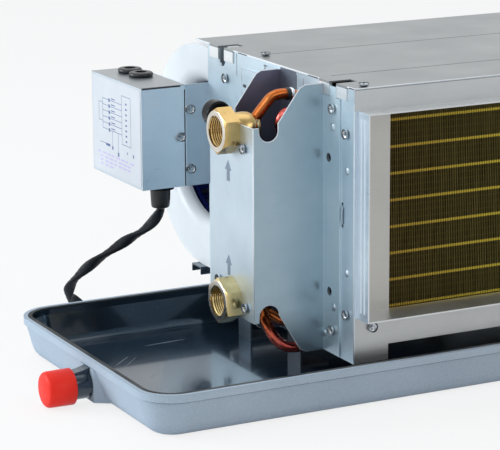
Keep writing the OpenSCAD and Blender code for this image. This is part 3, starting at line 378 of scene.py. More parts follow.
# End plate: a bluish copy of the zinc, with painted light on its front strip and painted shade, almost black,
# on its face inside the shroud
PLATE = galvanised("sheet_zinc_plate", (0.50, 0.62, 0.71), (0.65, 0.76, 0.83), painted_light_zones=[
    ((-2, -10, 0), (0.6, 46, 204), (0.58, 0.71, 0.81), (0.72, 0.84, 0.91)),
    ((-2, 92, 0), (0.6, 119, 214), (0.07, 0.075, 0.11), (0.14, 0.145, 0.20))])
# Electrical box: a lighter copy of the zinc that paints light on its front, with painted shade on its top and
# a darker tone painted on its -X side
BOX = galvanised("sheet_zinc_box", (0.72, 0.82, 0.90), (0.84, 0.92, 0.97), painted_light_zones=[
    ((-70, 240, 180.4), (20, 360, 184), (0.16, 0.17, 0.18), (0.26, 0.27, 0.28)),
    ((-63, 240, 90), (-61.5, 360, 180.3), (0.46, 0.53, 0.60), (0.56, 0.62, 0.68))])
COOL = galvanised("sheet_zinc_cool", (0.44, 0.54, 0.62), (0.58, 0.67, 0.74))
# Shroud: a bluish copy of the zinc, with painted shade on its front wall, a painted highlight on the front
# strip of its flange, and painted shade and reflection, dark purple, inside it
SHROUD = galvanised("sheet_zinc_shroud", (0.44, 0.54, 0.62), (0.58, 0.67, 0.74), painted_light_zones=[
    ((-61.9, 45, 0), (-1.3, 46.2, 214), (0.23, 0.33, 0.40), (0.31, 0.42, 0.49)),
    ((-1.4, 15, 0), (-1.0, 46, 214), (0.68, 0.84, 0.94), (0.84, 0.95, 0.99)),
    ((-61.4, 46.6, 0), (2, 119.4, 214), (0.10, 0.09, 0.16), (0.22, 0.19, 0.32))])
# Top panel: a darker copy of the zinc that paints shade on its top face, the plain tone on its front flange,
# and a painted highlight, near white, on the faces of its left end
TOP = galvanised("sheet_zinc_top", (0.255, 0.275, 0.287), (0.32, 0.342, 0.354), painted_light_zones=[
    ((-6, -10, 150), (660, 0.6, 213.6), (0.53, 0.56, 0.58), (0.66, 0.68, 0.69)),
    ((-6, 0.7, 190), (0.1, 290, 213.4), (0.92, 0.95, 0.97), (0.97, 0.98, 0.99))])
# Near white and barely metallic: painted highlights along edges and bends
EDGE_HIGHLIGHT = galvanised("sheet_edge_highlight", (0.74, 0.79, 0.84), (0.86, 0.89, 0.92), metallic=0.15)
# Darker zinc: painted shade on the pressed arrows
STAMP_SHADE = galvanised("sheet_stamped_shade", (0.16, 0.21, 0.28), (0.26, 0.32, 0.40))
ZINC = metal("screw_zinc_bright", (0.62, 0.65, 0.68), (0.86, 0.88, 0.90), (0.14, 0.26))
TRAY = painted_tray()
FOAM = foam_skin()
BRASS = machined_brass()
COPPER = copper_tube()
FOIL = gold_foil()
WHITE = moulded("volute_white", (0.76, 0.79, 0.82), (0.84, 0.86, 0.88), (0.3, 0.4), 500.0)
NAVY = moulded("wheel_navy_gloss", (0.010, 0.018, 0.16), (0.020, 0.036, 0.28), (0.25, 0.35))
RED = moulded("cap_red", (0.86, 0.014, 0.006), (0.95, 0.030, 0.014), (0.4, 0.5), specular_ior_level=0.25)
BLACK = moulded("plastic_black", (0.004, 0.005, 0.006), (0.010, 0.011, 0.013), (0.10, 0.18),
                specular_ior_level=0.12)
RUBBER = moulded("rubber_black", (0.008, 0.009, 0.011), (0.02, 0.022, 0.026), (0.3, 0.45))
SLEEVE = moulded("sleeve_black", (0.006, 0.008, 0.012), (0.018, 0.022, 0.030), (0.3, 0.45), 300.0, 0.2,
                 specular_ior_level=0.2)
IVORY = moulded("moulding_ivory", (0.72, 0.71, 0.64), (0.80, 0.79, 0.73))
MOTOR = moulded("motor_grey_paint", (0.06, 0.065, 0.07), (0.10, 0.105, 0.11), (0.35, 0.5))
CAST = metal("motor_casting", (0.34, 0.35, 0.36), (0.48, 0.49, 0.50), (0.4, 0.55), 90.0)
STEEL = metal("shaft_ground", (0.45, 0.45, 0.46), (0.60, 0.60, 0.61))
CORE = metal("core_lamination", (0.16, 0.15, 0.14), (0.25, 0.23, 0.21), (0.45, 0.6))

PAPER = moulded("label_paper", (0.60, 0.62, 0.66), (0.66, 0.68, 0.72), (0.35, 0.5), 900.0, 0.03)
RIM = moulded("rim_worn", (0.035, 0.04, 0.045), (0.12, 0.12, 0.118), (0.6, 0.8), 300.0, 0.2,
              specular_ior_level=0.08)
SCREW = metal("screw_zinc_turned", (0.36, 0.39, 0.42), (0.56, 0.59, 0.62), (0.10, 0.20))
# A near-black copy of the zinc: painted shade under the casing on the pan brackets, with a paler painted
# reflection on the lower part of one leg
LEG_SHADE = galvanised("sheet_zinc_shade", (0.05, 0.06, 0.075), (0.09, 0.105, 0.125), painted_light_zones=[
    ((-2, 170, -30), (30, 200, -7), (0.14, 0.19, 0.24), (0.22, 0.28, 0.34))])
# Painted shade in the seams and slots
SEAM_SHADE = moulded("seam_shade", (0.012, 0.014, 0.02), (0.03, 0.034, 0.045), (0.5, 0.6))
SCUFF = moulded("scuff_grey", (0.16, 0.19, 0.22), (0.30, 0.34, 0.38), (0.3, 0.5))
INK_BLUE = moulded("ink_blue", (0.06, 0.10, 0.26), (0.12, 0.18, 0.36), (0.5, 0.6), 900.0, 0.02)
INK_PURPLE = moulded("ink_purple", (0.52, 0.44, 0.68), (0.60, 0.52, 0.76), (0.5, 0.6), 900.0, 0.02)

BY_SLOT = {
    "galvanised_sheet": SHEET, "screw_zinc": ZINC, "pan_paint": TRAY, "pan_foam": FOAM, "brass": BRASS,
    "copper": COPPER, "fin_foil": FOIL, "white_plastic": WHITE, "wheel_navy": NAVY, "red_plastic": RED,
    "black_plastic": BLACK, "black_rubber": RUBBER, "cord_sleeve": SLEEVE, "terminal_ivory": IVORY,
    "motor_paint": MOTOR, "motor_cast": CAST, "shaft_steel": STEEL, "core_steel": CORE,
}


# Pieces with a material other than their slot's: copies of the zinc whose tones paint light and shade on
# them, a bluish copy on the box's bracket, and plain black on the vent knob
PIECE_TONE_AND_PAINTED_LIGHT = {
    "left_end_plate": PLATE, "header_shroud": SHROUD, "top_panel": TOP, "box_base": BOX, "box_cover": BOX,
    "box_bracket": COOL, "front_rail": RAIL_SHADED, "outlet_collar": COLLAR, "tube_sheet_left": STRIP_SHADED,
    "air_vent_knob": BLACK, "pan_brackets": LEG_SHADE,
}


def paint(shape, material):
    shape.data.materials.clear()
    shape.data.materials.append(material)


for part in frame["record"]["subparts"]:
    paint(nodes[part["node"]], PIECE_TONE_AND_PAINTED_LIGHT.get(part["node"], BY_SLOT[part["material_slot"]]))


# Mesh helpers
def piece(name, verts, faces, material, slot, smooth=False, body=ROOT):
    mesh = bpy.data.meshes.new(name)
    mesh.from_pydata([tuple(v) for v in verts], [], faces)
    mesh.update()
    made = bpy.data.objects.new(name, mesh)
    bpy.context.scene.collection.objects.link(made)
    paint(made, material)
    if smooth:
        mesh.shade_smooth()
    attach(made, body)
    return made


def curve_point(a, b, c, d, u):
    return 0.5 * (2 * b + (c - a) * u + (2 * a - 5 * b + 4 * c - d) * u ** 2
                  + (3 * b - a - 3 * c + d) * u ** 3)


def smooth_path(points, steps):
    """A smooth path through given points, as in the part's source."""
    last = len(points) - 1
    path = []
    for i in range(last):
        around = [points[max(i - 1, 0)], points[i], points[i + 1], points[min(i + 2, last)]]
        path += [curve_point(*around, k / steps) for k in range(steps)]
    return path + [points[last]]


def ring_faces(rings, sides):
    """The faces between rings of points that follow one another."""
    faces = []
    for i in range(rings - 1):
        for k in range(sides):
            j = (k + 1) % sides
            faces.append((i * sides + k, (i + 1) * sides + k, (i + 1) * sides + j, i * sides + j))
    return faces


def end_faces(rings, sides):
    """The two faces that close the first ring and the last."""
    return [tuple(range(sides)), tuple(reversed(range((rings - 1) * sides, rings * sides)))]


def sweep(path, section, twist=0.0):
    """Sweeps a closed section along a path; section(i) gives its points across the path at point i."""
    verts = []
    across = Vector((0, 0.6, 0.8))
    for i, point in enumerate(path):
        ahead = (path[min(i + 1, len(path) - 1)] - path[max(i - 1, 0)]).normalized()
        across = (across - across.dot(ahead) * ahead).normalized()
        side = ahead.cross(across)
        turn = math.radians(twist * i / (len(path) - 1))
        wide = across * math.cos(turn) + side * math.sin(turn)
        thin = side * math.cos(turn) - across * math.sin(turn)
        ring = [point + u * wide + v * thin for u, v in section(i)]
        verts += ring
    return verts, ring_faces(len(path), len(ring)) + end_faces(len(path), len(ring))


def circle(radius, sides):
    return [(radius * math.cos(a), radius * math.sin(a))
            for a in (2 * math.pi * k / sides for k in range(sides))]


def tube(path, radii, sides=20):
    """A round tube along a path, with its radius at each point."""
    return sweep(path, lambda i: circle(radii[i], sides))


def lathe(profile, y, z, sides=20):
    """A turned shape about a line along X, from (x, radius) steps in millimetres."""
    return tube([at(x, y, z) for x, r in profile], [r * MM for x, r in profile], sides)


def rounded(across, up, radius, steps=5):
    """The outline of a rectangle with round corners, from its two spans."""
    left, right = across[0] + radius, across[1] - radius
    low, high = up[0] + radius, up[1] - radius
    outline = []
    for mid_u, mid_v, turn in ((right, high, 0), (left, high, 90), (left, low, 180), (right, low, 270)):
        for k in range(steps + 1):
            a = math.radians(turn + 90 * k / steps)
            outline.append((mid_u + radius * math.cos(a), mid_v + radius * math.sin(a)))
    return outline


def merge(verts, faces, more, skin):
    """Adds a second mesh to the first."""
    start = len(verts)
    verts += more
    faces += [tuple(start + k for k in face) for face in skin]


# Faces of a box whose points run over x, then y, then z
BOX_FACES = ((0, 1, 3, 2), (4, 6, 7, 5), (0, 4, 5, 1), (2, 3, 7, 6), (0, 2, 6, 4), (1, 5, 7, 3))

# Faces of a thin mark, from four points on a surface and the same four just off it
MARK_FACES = ((4, 5, 6, 7), (0, 1, 5, 4), (1, 2, 6, 5), (2, 3, 7, 6), (3, 0, 4, 7))

# Motor lead: a flat sleeve that twists as it hangs, from the box's bushing to the motor's gland
LEAD_ROUTE = [
    (-39, 262, 80), (-40, 262.5, 72), (-46, 264, 63), (-55, 267, 55), (-64, 271, 49), (-73, 275, 43),
    (-84, 280, 35), (-94, 285, 27), (-102.5, 289, 19.5), (-109, 293, 11), (-111.5, 297, 2.5),
    (-109, 301, -4), (-102, 305, -10), (-91, 311, -17), (-76, 319, -24), (-55, 326, -26.8),
    (-27, 330, -26.8), (10, 332, -26.8), (60, 332, -26.8), (120, 332, -26.8), (175, 334, -26.8),
    (222, 341, -26.8), (254, 355, -26), (276, 371, -19), (291, 383, -4), (302, 390, 20), (311, 393, 48),
    (317, 393, 76), (320, 390, 98), (320, 381, 109), (320, 371, 110),
]
LEAD_WIDTH = 9.4 * MM
LEAD_THICK = 6.0 * MM
LEAD_TWIST = 2000


def make_lead():
    path = smooth_path([at(*p) for p in LEAD_ROUTE], 8)

    def section(i):
        crease = 1 + 0.05 * math.sin(i * 1.9)
        return [(u * LEAD_WIDTH, v * LEAD_THICK * crease) for u, v in circle(0.5, 16)]

    made = piece("motor_lead_sleeve", *sweep(path, section, LEAD_TWIST), SLEEVE, "cord_sleeve", smooth=True)
    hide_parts("motor_lead")


make_lead()


# Copper feeders, drawn along the bends in the photograph, with a rubber sleeve and a ring on the upper one
FEEDER_R = 4.3 * MM
FEEDER_ROUTES = {
    "feeder_out_upper": [
        (-44, 83, 179.6), (-39.6, 83, 184.4), (-32.5, 83, 192.2), (-26.2, 83, 198), (-18, 83, 199.6),
        (-9.2, 83, 198.6), (-4, 83, 196.6), (0, 83, 194.6), (10, 74, 192.4), (16, 56, 189), (19, 38, 186.5),
        (25, 23, 185.6), (29.6, 23, 185.6),
    ],
    "feeder_out_lower": [
        (-50, 83, 168), (-46, 82, 159), (-38, 77, 153), (-29, 71, 159), (-26, 68, 171.5), (-27.5, 67, 181),
        (-23.5, 65.8, 187.5), (-14, 64.6, 186.5), (-6, 63.8, 181), (0, 62.6, 176), (11, 53, 175),
        (25, 43, 175.1), (29.6, 43, 175.1),
    ],
    "feeder_in_front": [
        (-44, 79.1, 40.7), (-40, 79, 33), (-37.4, 77, 24), (-36.4, 70, 16), (-34, 64, 9), (-30, 60, 4.6),
        (-25, 58, 2.6), (-18, 56.4, 2.4), (-9, 55, 6), (0, 54, 12.6), (11, 48, 20), (25, 43, 28.1),
        (29.6, 43, 28.1),
    ],
    "feeder_in_back": [
        (-44, 86.9, 40.7), (-37, 86.9, 35), (-31.4, 86, 26.4), (-26.2, 82, 22.5), (-20, 77, 19),
        (-9, 69, 18.6), (0, 65, 21), (6, 60, 27), (12, 48, 35), (18, 33, 38.4), (25, 23, 38.6),
        (29.6, 23, 38.6),
    ],
}
FEEDER_SLEEVE = [(-14.5, 4.6), (-14.2, 5.0), (-11.4, 5.0), (-11.1, 4.6)]
FEEDER_SLEEVE_Z = 199.2
FEEDER_RING = [(-10.9, 4.5), (-10.6, 5.3), (-9.6, 5.5), (-8.6, 5.3), (-8.3, 4.5)]
FEEDER_RING_Z = 198.7


def make_feeders():
    for node, route in FEEDER_ROUTES.items():
        path = smooth_path([at(*p) for p in route], 8)
        radii = [FEEDER_R * (1 + 0.012 * math.sin(i * 0.7)) for i in range(len(path))]
        made = piece(node + "_drawn", *tube(path, radii), COPPER, "copper", smooth=True)
        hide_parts(node)
    piece("feeder_sleeve", *lathe(FEEDER_SLEEVE, PIPE_Y, FEEDER_SLEEVE_Z), RUBBER, "black_rubber",
          smooth=True)
    piece("feeder_ring", *lathe(FEEDER_RING, PIPE_Y, FEEDER_RING_Z), ZINC, "screw_zinc", smooth=True)


# Tapered rubber skirt on the box's cable bushing
SKIRT = [(92.8, 8.6), (91.9, 8.7), (79.0, 8.0), (76.2, 7.7), (75.4, 7.0), (75.2, 6.4)]
SKIRT_AXIS = (-40, 262)


def make_skirt():
    path = [at(*SKIRT_AXIS, z) for z, r in SKIRT]
    piece("bushing_skirt", *tube(path, [r * MM for z, r in SKIRT], 32), RUBBER, "black_rubber", smooth=True)


# Wide domed necks behind the two hexagons
NECK = [(-60.5, 12.4), (-60.1, 13.0), (-48.6, 13.2), (-46.4, 12.7), (-44.2, 11.5), (-42.2, 9.9), (-40.6, 8.2),
        (-39.6, 6.9), (-39.2, 6.0)]


def make_neck(name, z):
    piece(name, *lathe(NECK, PIPE_Y, z, 40), BRASS, "brass", smooth=True)


# Female threads in the two connections
THREAD_START = -74.6
THREAD_PITCH = 1.81
THREAD_TURNS = 5.7
THREAD_HALF = 0.75
THREAD_WALL = 12.15
THREAD_CREST = 11.25


def make_thread(name, z):
    steps = 32
    verts, faces = [], []
    for i in range(int(steps * THREAD_TURNS)):
        angle = 2 * math.pi * i / steps
        x = THREAD_START + THREAD_PITCH * i / steps
        for radius, shift in ((THREAD_WALL, -THREAD_HALF), (THREAD_CREST, 0), (THREAD_WALL, THREAD_HALF)):
            verts.append(at(x + shift, PIPE_Y + radius * math.cos(angle), z + radius * math.sin(angle)))
        if i:
            near, far = 3 * i - 3, 3 * i
            faces += [(near, near + 1, far + 1, far), (near + 1, near + 2, far + 2, far + 1),
                      (near + 2, near, far, far + 2)]
    faces += [(0, 1, 2), (len(verts) - 1, len(verts) - 2, len(verts) - 3)]
    piece(name, verts, faces, BRASS, "brass")


# Screw heads with a cross recess in place of the part's plain ones; their hollow side looks out of the sheet
HEAD_RINGS = ((4.0, 0.0), (4.0, 0.9), (3.75, 1.6), (3.3, 2.05), (2.7, 2.35))
HEAD_TOP = 2.5
CROSS_ARM = (2.0, 0.5)
CROSS_FLOOR = 0.9
CROSS_TAPER = 0.75
CROSS_TURN = 37


def screw_mesh():
    sides = 24
    verts = []
    for radius, height in HEAD_RINGS:
        turns = (math.radians(360 / sides * (k - 1)) for k in range(sides))
        verts += [Vector((radius * math.cos(a), radius * math.sin(a), height)) for a in turns]
    faces = [(a, d, c, b) for a, b, c, d in ring_faces(len(HEAD_RINGS), sides)]
    reach, half = CROSS_ARM
    arm = [(reach, -half), (reach, half), (half, half)]
    cross = [(x * c - y * s, x * s + y * c) for c, s in ((1, 0), (0, 1), (-1, 0), (0, -1)) for x, y in arm]
    last, rim = (len(HEAD_RINGS) - 1) * sides, len(verts)
    verts += [Vector((x, y, HEAD_TOP)) for x, y in cross]
    floor = len(verts)
    verts += [Vector((x * CROSS_TAPER, y * CROSS_TAPER, CROSS_FLOOR)) for x, y in cross]
    count = len(cross)
    for k in range(count):
        j = (k + 1) % count
        outer = [last + 2 * k, last + 2 * k + 1, last + (2 * k + 2) % sides]
        faces += [(outer[0], outer[1], rim + k), (outer[1], outer[2], rim + j), (outer[1], rim + j, rim + k),
                  (rim + k, rim + j, floor + j, floor + k)]
    faces.append(tuple(range(floor, floor + count)))
    return verts, faces


def islands(node):
    """The separate solids of a CAD node, each as a list of points, in the order of their low corners."""
    mesh = bmesh.new()
    mesh.from_mesh(nodes[node].data)
    bmesh.ops.remove_doubles(mesh, verts=mesh.verts, dist=1e-6)
    left, found = set(mesh.verts), []
    while left:
        stack, group = [left.pop()], []
        while stack:
            vert = stack.pop()
            group.append(vert.co.copy())
            near = {e.other_vert(vert) for e in vert.link_edges} & left
            left -= near
            stack += near
        found.append(group)
    mesh.free()
    return sorted(found, key=lambda group: tuple(round(min(along), 4) for along in zip(*group)))


def make_screws(node):
    head_verts, head_faces = screw_mesh()
    verts, faces = [], []
    for number, group in enumerate(islands(node)):
        low = Vector(map(min, *group))
        high = Vector(map(max, *group))
        size = high - low
        axis = min(range(3), key=lambda k: size[k])
        centre = (low + high) / 2
        mean = sum((p[axis] for p in group)) / len(group)
        up = Vector((0, 0, 0))
        up[axis] = 1 if mean < centre[axis] else -1
        base = centre - up * size[axis] / 2
        spin = Matrix.Rotation(math.radians(CROSS_TURN * number), 3, "Z")
        turn = up.to_track_quat("Z", "Y").to_matrix() @ spin
        merge(verts, faces, [base + turn @ v * MM for v in head_verts], head_faces)
    made = piece(node + "_cross", verts, faces, SCREW, "screw_zinc")
    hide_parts(node)


# Fin pack: fine pressed fins in front of a dark core, flattened to a line at each tube row
def make_fins():
    low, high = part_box("coil_fins")
    front, back = low.y, high.y
    flat, fade = FIN_LINE_REACH
    line = ((-fade, FIN_HALF), (-flat, FIN_LINE_HALF), (flat, FIN_LINE_HALF), (fade, FIN_HALF))
    stops = [(low.z, FIN_HALF)]
    for row in range(ROW_COUNT):
        middle = at(0, 0, FIRST_ROW + ROW_PITCH * row).z
        stops += [(middle + shift * MM, half) for shift, half in line]
    stops.append((high.z, FIN_HALF))
    verts, faces = [], []
    count = int((high.x - low.x) / MM / FIN_PITCH)
    for i in range(count):
        x = low.x + (i + 0.5) * FIN_PITCH * MM
        start = len(verts)
        for z, half in stops:
            half *= MM
            verts += [Vector((x - half, front + FIN_DEPTH * MM, z)), Vector((x - half, front, z)),
                      Vector((x + half, front, z)), Vector((x + half, front + FIN_DEPTH * MM, z))]
        for k in range(len(stops) - 1):
            near, far = start + 4 * k, start + 4 * k + 4
            faces += [(near + j, near + j + 1, far + j + 1, far + j) for j in range(3)]
        top = start + 4 * len(stops) - 4
        faces += [(start, start + 3, start + 2, start + 1), (top, top + 1, top + 2, top + 3)]
    core = front + FIN_DEPTH * MM * 0.9
    block = [Vector((x, y, z)) for x in (low.x, high.x) for y in (core, back) for z in (low.z, high.z)]
    merge(verts, faces, block, BOX_FACES)
    made = piece("fin_pack_fine", verts, faces, FOIL, "fin_foil")
    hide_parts("coil_fins")


# Top of the tray's rim: sprayed foam on its outer side, worn paint on its inner side
def make_rim():
    for name, start, end, material, slot in (("rim_foam", 0, RIM_FOAM, FOAM, "pan_foam"),
                                             ("rim_edge", RIM_FOAM, RIM_WIDE, RIM, "pan_paint")):
        outline = []
        for inset in (start, end):
            wide = (PAN_X[0] + inset, PAN_X[1] - inset)
            deep = (PAN_Y[0] + inset, PAN_Y[1] - inset)
            outline += rounded(wide, deep, PAN_CORNER - inset, 8)
        count = len(outline) // 2
        verts = [at(x, y, RIM_TOP) for x, y in outline]
        faces = [(k, (k + 1) % count, count + (k + 1) % count, count + k) for k in range(count)]
        piece(name, verts, faces, material, slot)


# Foam boss that the drain stub comes out of, as its width in Y at two places in X, and the rib over the stub
BOSS = ((-178.6, (90, 114)), (-166, (82, 122)))
BOSS_LOW = -29.4
RIB_LOW = -10
RIB_Y = (97, 107)
RIB = [(-178, RIB_LOW), (-178, LIP_LOW), (-181, LIP_LOW - 1.2), (-186, LIP_LOW - 2.6), (-192, LIP_LOW - 3.6),
       (-192, RIB_LOW)]


def make_boss():
    verts = [at(x, y, z) for x, span in BOSS for y in span for z in (BOSS_LOW, LIP_LOW)]
    piece("drain_boss", verts, BOX_FACES, FOAM, "pan_foam")
    count = len(RIB)
    verts = [at(x, y, z) for y in RIB_Y for x, z in RIB]
    faces = [tuple(range(count)), tuple(reversed(range(count, 2 * count)))]
    faces += [(k, count + k, count + (k + 1) % count, (k + 1) % count) for k in range(count)]
    piece("stub_rib", verts, faces, TRAY, "pan_paint")


# Red cap: a hollow turned shape with a rounded end, from its closed end round the rim to its inner end
CAP = [(-215.05, 11.4), (-214.5, 12.7), (-213.4, 13.7), (-211.6, 14.2), (-193.0, 14.4), (-192.6, 14.1),
       (-192.6, 11.2), (-212.0, 11.1)]
CAP_AXIS = (102, -17)


def make_cap():
    sides = 48
    y, z = CAP_AXIS
    verts = [at(x, y + dy, z + dz) for x, r in CAP for dy, dz in circle(r, sides)]
    faces = ring_faces(len(CAP), sides) + end_faces(len(CAP), sides)
    made = piece("drain_cap_turned", verts, faces, RED, "red_plastic", smooth=True, body="drain_cap")
    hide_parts("drain_cap")


# Thin marks on faces that look along -X: (x, y from, y to, z from, z to)
def marks_left(name, boxes, material, slot="galvanised_sheet", thick=0.06):
    verts, faces = [], []
    for x, y0, y1, z0, z1 in boxes:
        corners = [(y0, z0), (y1, z0), (y1, z1), (y0, z1)]
        merge(verts, faces, [at(u, *p) for u in (x, x - thick) for p in corners], MARK_FACES)
    piece(name, verts, faces, material, slot)


# Label on the box: a thin plate with a generic wiring sketch and grey-purple rules, without any words
LABEL = {"y": (251.5, 349.5), "z": (96.5, 178.5), "x": -62.0, "thick": 0.25, "ink": 0.04, "corner": 2.0}


def plate_left(name, outline, x, thick, material, slot, inset=0.0):
    """A flat plate that stands proud of a face that looks along -X, its outer edge drawn in by inset."""
    count = len(outline)
    my = sum(p[0] for p in outline) / count
    mz = sum(p[1] for p in outline) / count
    shrink = [(my + (y - my) * (1 - inset), mz + (z - mz) * (1 - inset)) for y, z in outline]
    verts = [at(x, y, z) for y, z in outline] + [at(x - thick, y, z) for y, z in shrink]
    faces = [(k, (k + 1) % count, count + (k + 1) % count, count + k) for k in range(count)]
    faces += [tuple(range(count, 2 * count)), tuple(reversed(range(count)))]
    return piece(name, verts, faces, material, slot)


def print_on_label(name, strips, material):
    """Printed strips (left, bottom, width, height) in millimetres from the label's lower left as seen."""
    face = LABEL["x"] - LABEL["thick"]
    boxes = []
    for left, low, wide, tall in strips:
        y = LABEL["y"][1] - left
        z = LABEL["z"][0] + low
        boxes.append((face, y, y - wide, z, z + tall))
    marks_left(name, boxes, material, "white_plastic", LABEL["ink"])


def make_label():
    plate_left("label_plate", rounded(LABEL["y"], LABEL["z"], LABEL["corner"]), LABEL["x"], LABEL["thick"],
               PAPER, "white_plastic")
    line = 0.5
    sketch = []
    for row in range(6):
        low = 38 + 5.2 * row
        sketch += [(20, low, 12, line), (36, low, 24, line), (32.5, low - 1.4, 3, 3), (38, low + 1.6, 8, 0.9)]
    sketch += [(60, 30, line, 42), (78, 30, line, 42), (60, 30, 18, line), (60, 72, 18, line)]
    sketch += [(67.5, 33 + 4.6 * k, 3.2, 1.6) for k in range(8)]
    sketch += [(20, 38, line, 26), (12, 44, line, 16), (12, 44, 8, line), (12, 60, 8, line)]
    sketch += [(40, 24, line, 14), (52, 21, line, 17), (38.8, 22, 2.8, 3), (50.8, 18, 3, 3.4)]
    sketch += [(14, 25, 12, line), (26, 23.6, 9, 2.2), (82, 22, 2, 3), (70, 23, 1.6, 2)]
    print_on_label("label_sketch", sketch, INK_BLUE)
    rules = []
    for row, (left, dashes) in enumerate(((9, 8), (14, 7), (14, 7), (14, 3))):
        rules += [(left + 9.6 * k, 15.5 - 3.4 * row, 7.6 if k % 3 else 5.2, 1.5) for k in range(dashes)]
    print_on_label("label_rules", rules, INK_PURPLE)


# Plain flow arrows on the shroud's face: thin plates in a darker zinc that paints the shade of a pressing
ARROW = [(-2.2, -8), (2.2, -8), (2.2, 1), (5.6, 1), (0, 9), (-5.6, 1), (-2.2, 1)]


def make_arrow(name, y, z):
    outline = [(y + dy, z + dz) for dy, dz in ARROW]
    plate_left(name, outline, FACE_X, 0.35, STAMP_SHADE, "galvanised_sheet", inset=0.08)


# Small pressed domes, in steps of (radius, height), and the bridge between the end plate's stitch holes
DOME = ((3.3, 0.0), (2.8, 0.5), (1.7, 0.95), (0.5, 1.1))
DOME_PLACES = ((-1.2, 31.4, 180.6), (-1.2, 29.2, 38.8), (-1.2, 44.2, 14.5), (0, 11.0, 150), (0, 11.0, 70))
BRIDGE_Y = 17.7
BRIDGE = [(-0.2, 107.6), (-0.7, 109.5), (-0.9, 114.5), (-0.7, 119.5), (-0.2, 121.4)]


def make_domes():
    sides = 16
    skin = [(a, d, c, b) for a, b, c, d in ring_faces(len(DOME), sides)]
    skin.append(tuple(range((len(DOME) - 1) * sides, len(DOME) * sides)))
    verts, faces = [], []
    for x, y, z in DOME_PLACES:
        dome = [at(x - height, y + dy, z + dz) for radius, height in DOME for dy, dz in circle(radius, sides)]
        merge(verts, faces, dome, skin)
    piece("pressed_domes", verts, faces, COOL, "galvanised_sheet", smooth=True)
    bridge = [at(x, BRIDGE_Y, z) for x, z in BRIDGE]
    piece("stitch_bridge", *sweep(bridge, lambda i: [(u * 2.4, v * 0.6) for u, v in circle(MM, 12)]),
          COOL, "galvanised_sheet", smooth=True)


# Painted highlights on the folded edges of the top panel: thin near-white tubes along its left end, in three
# stretches, and along its front
EDGE_R = 0.5 * MM
HEM_R = 0.75 * MM
HEM_STRETCHES = ((-1.0, 9.6), (53.2, 200.2), (243.8, 270.5))


def make_hem():
    verts, faces = [], []
    for first, last in HEM_STRETCHES:
        path = [at(-0.3, first + (last - first) * k / 12, 214.7) for k in range(13)]
        merge(verts, faces, *tube(path, [HEM_R] * len(path), 10))
    front = [at(x, -0.85, 214.85) for x in (-0.6, 320, 640.6)]
    merge(verts, faces, *tube(front, [EDGE_R] * len(front), 10))
    piece("top_hem_highlight", verts, faces, EDGE_HIGHLIGHT, "galvanised_sheet", smooth=True)


# Painted highlights: thin near-white tubes along the shroud's cut edges and its bend, and along the end
# plate's front corner
def arc(x, z, radius, first, last, steps=10):
    turns = (math.radians(first + (last - first) * k / steps) for k in range(steps + 1))
    return [(x + radius * math.cos(a), z + radius * math.sin(a)) for a in turns]


def make_shroud_edges():
    front, back = SHROUD_WALLS
    upper = [(FACE_EDGE, FACE_TOP), (-57, FACE_TOP), *arc(-48.5, FACE_TOP - 3, 8.5, 180, 360), (-40, 184.5),
             (-31.7, 195.8), (-23.5, 207), (-21, 210), (-17, 212), (-1.4, 212)]
    lower = [(FACE_EDGE, FACE_LOW), (-57.5, FACE_LOW), *arc(-48.5, FACE_LOW + 4.5, 9, 180, 0),
             (-39, FACE_LOW + 3.5), (-24, 7.8), (-21, 3.3), (-16, 0.9), (-1.4, 0.9)]
    paths = [[at(x, y, z) for x, z in edge] for edge in (upper, lower) for y in (front, back)]
    paths += [[at(FACE_EDGE, y, FACE_TOP) for y in ends] for ends in ((front, 74.6), (91.4, back))]
    paths += [[at(-61.65, 46.35, z) for z in (29.5, 181.5)], [at(0.3, 0.3, z) for z in (2, 203)]]
    verts, faces = [], []
    for path in paths:
        merge(verts, faces, *tube(path, [EDGE_R] * len(path), 8))
    piece("shroud_edge_highlights", verts, faces, EDGE_HIGHLIGHT, "galvanised_sheet", smooth=True)


# Skin of the end plate's back flange, with painted shade in seams and in the top's hem slots, and painted
# glints
def make_plate_marks():
    plate_left("flange_back", [(145.9, 12), (145.9, 203.4), (184.6, 203.4), (184.6, 12)], 0, 1.2, PLATE,
               "galvanised_sheet")
    marks_left("plate_seam_shade", [
        (0, 195.1, 195.7, 195, 213.5), (-1.2, 176.4, 181.8, 187.8, 190.4), (-1.2, 139.2, 145, 211, 211.8),
        (-1.2, 142.2, 143.4, 208.4, 211), (0, 91.4, 92.2, 160, 211.5),
    ], SEAM_SHADE)
    marks_left("plate_glints", [(0, 80, 80.8, 196, 211), (-1.2, 183.9, 184.6, 12, 203.4),
                                (-1.2, 146, 184.6, 202.8, 203.4)], ZINC)
    marks_left("hem_slot_shade", [(-1.02, 55, 71, 214.3, 215.1), (-1.02, 175, 191, 214.3, 215.1),
                             (-1.02, -0.8, 7, 214.3, 215.1)], SEAM_SHADE)


# Painted shade in the seams and a painted highlight on the lip of the electrical box, on its -Y side: (x
# from, x to, z from, z to, material)
BOX_FACE_Y = (249, 248.9)
BOX_MARKS = {
    "box_seam_shade": (-22.7, -21.7, 94.2, 177, SEAM_SHADE),
    "box_lip_highlight": (-21.7, -20.8, 94.2, 177, ZINC),
    "box_top_seam_shade": (-61.6, -26, 179.6, 180.8, SEAM_SHADE),
}


def make_box_seam():
    for name, (x0, x1, z0, z1, material) in BOX_MARKS.items():
        corners = [(x0, z0), (x1, z0), (x1, z1), (x0, z1)]
        verts = [at(x, y, z) for y in BOX_FACE_Y for x, z in corners]
        piece(name, verts, MARK_FACES, material, "galvanised_sheet")


# Folded edge that closes the slit between the end plate and the collar
def make_collar_seam():
    verts = [at(x, y, z) for x in (1.1, 3.05) for y in (0.1, 1.1) for z in (36.2, 198)]
    piece("collar_seam", verts, BOX_FACES, COLLAR, "galvanised_sheet")


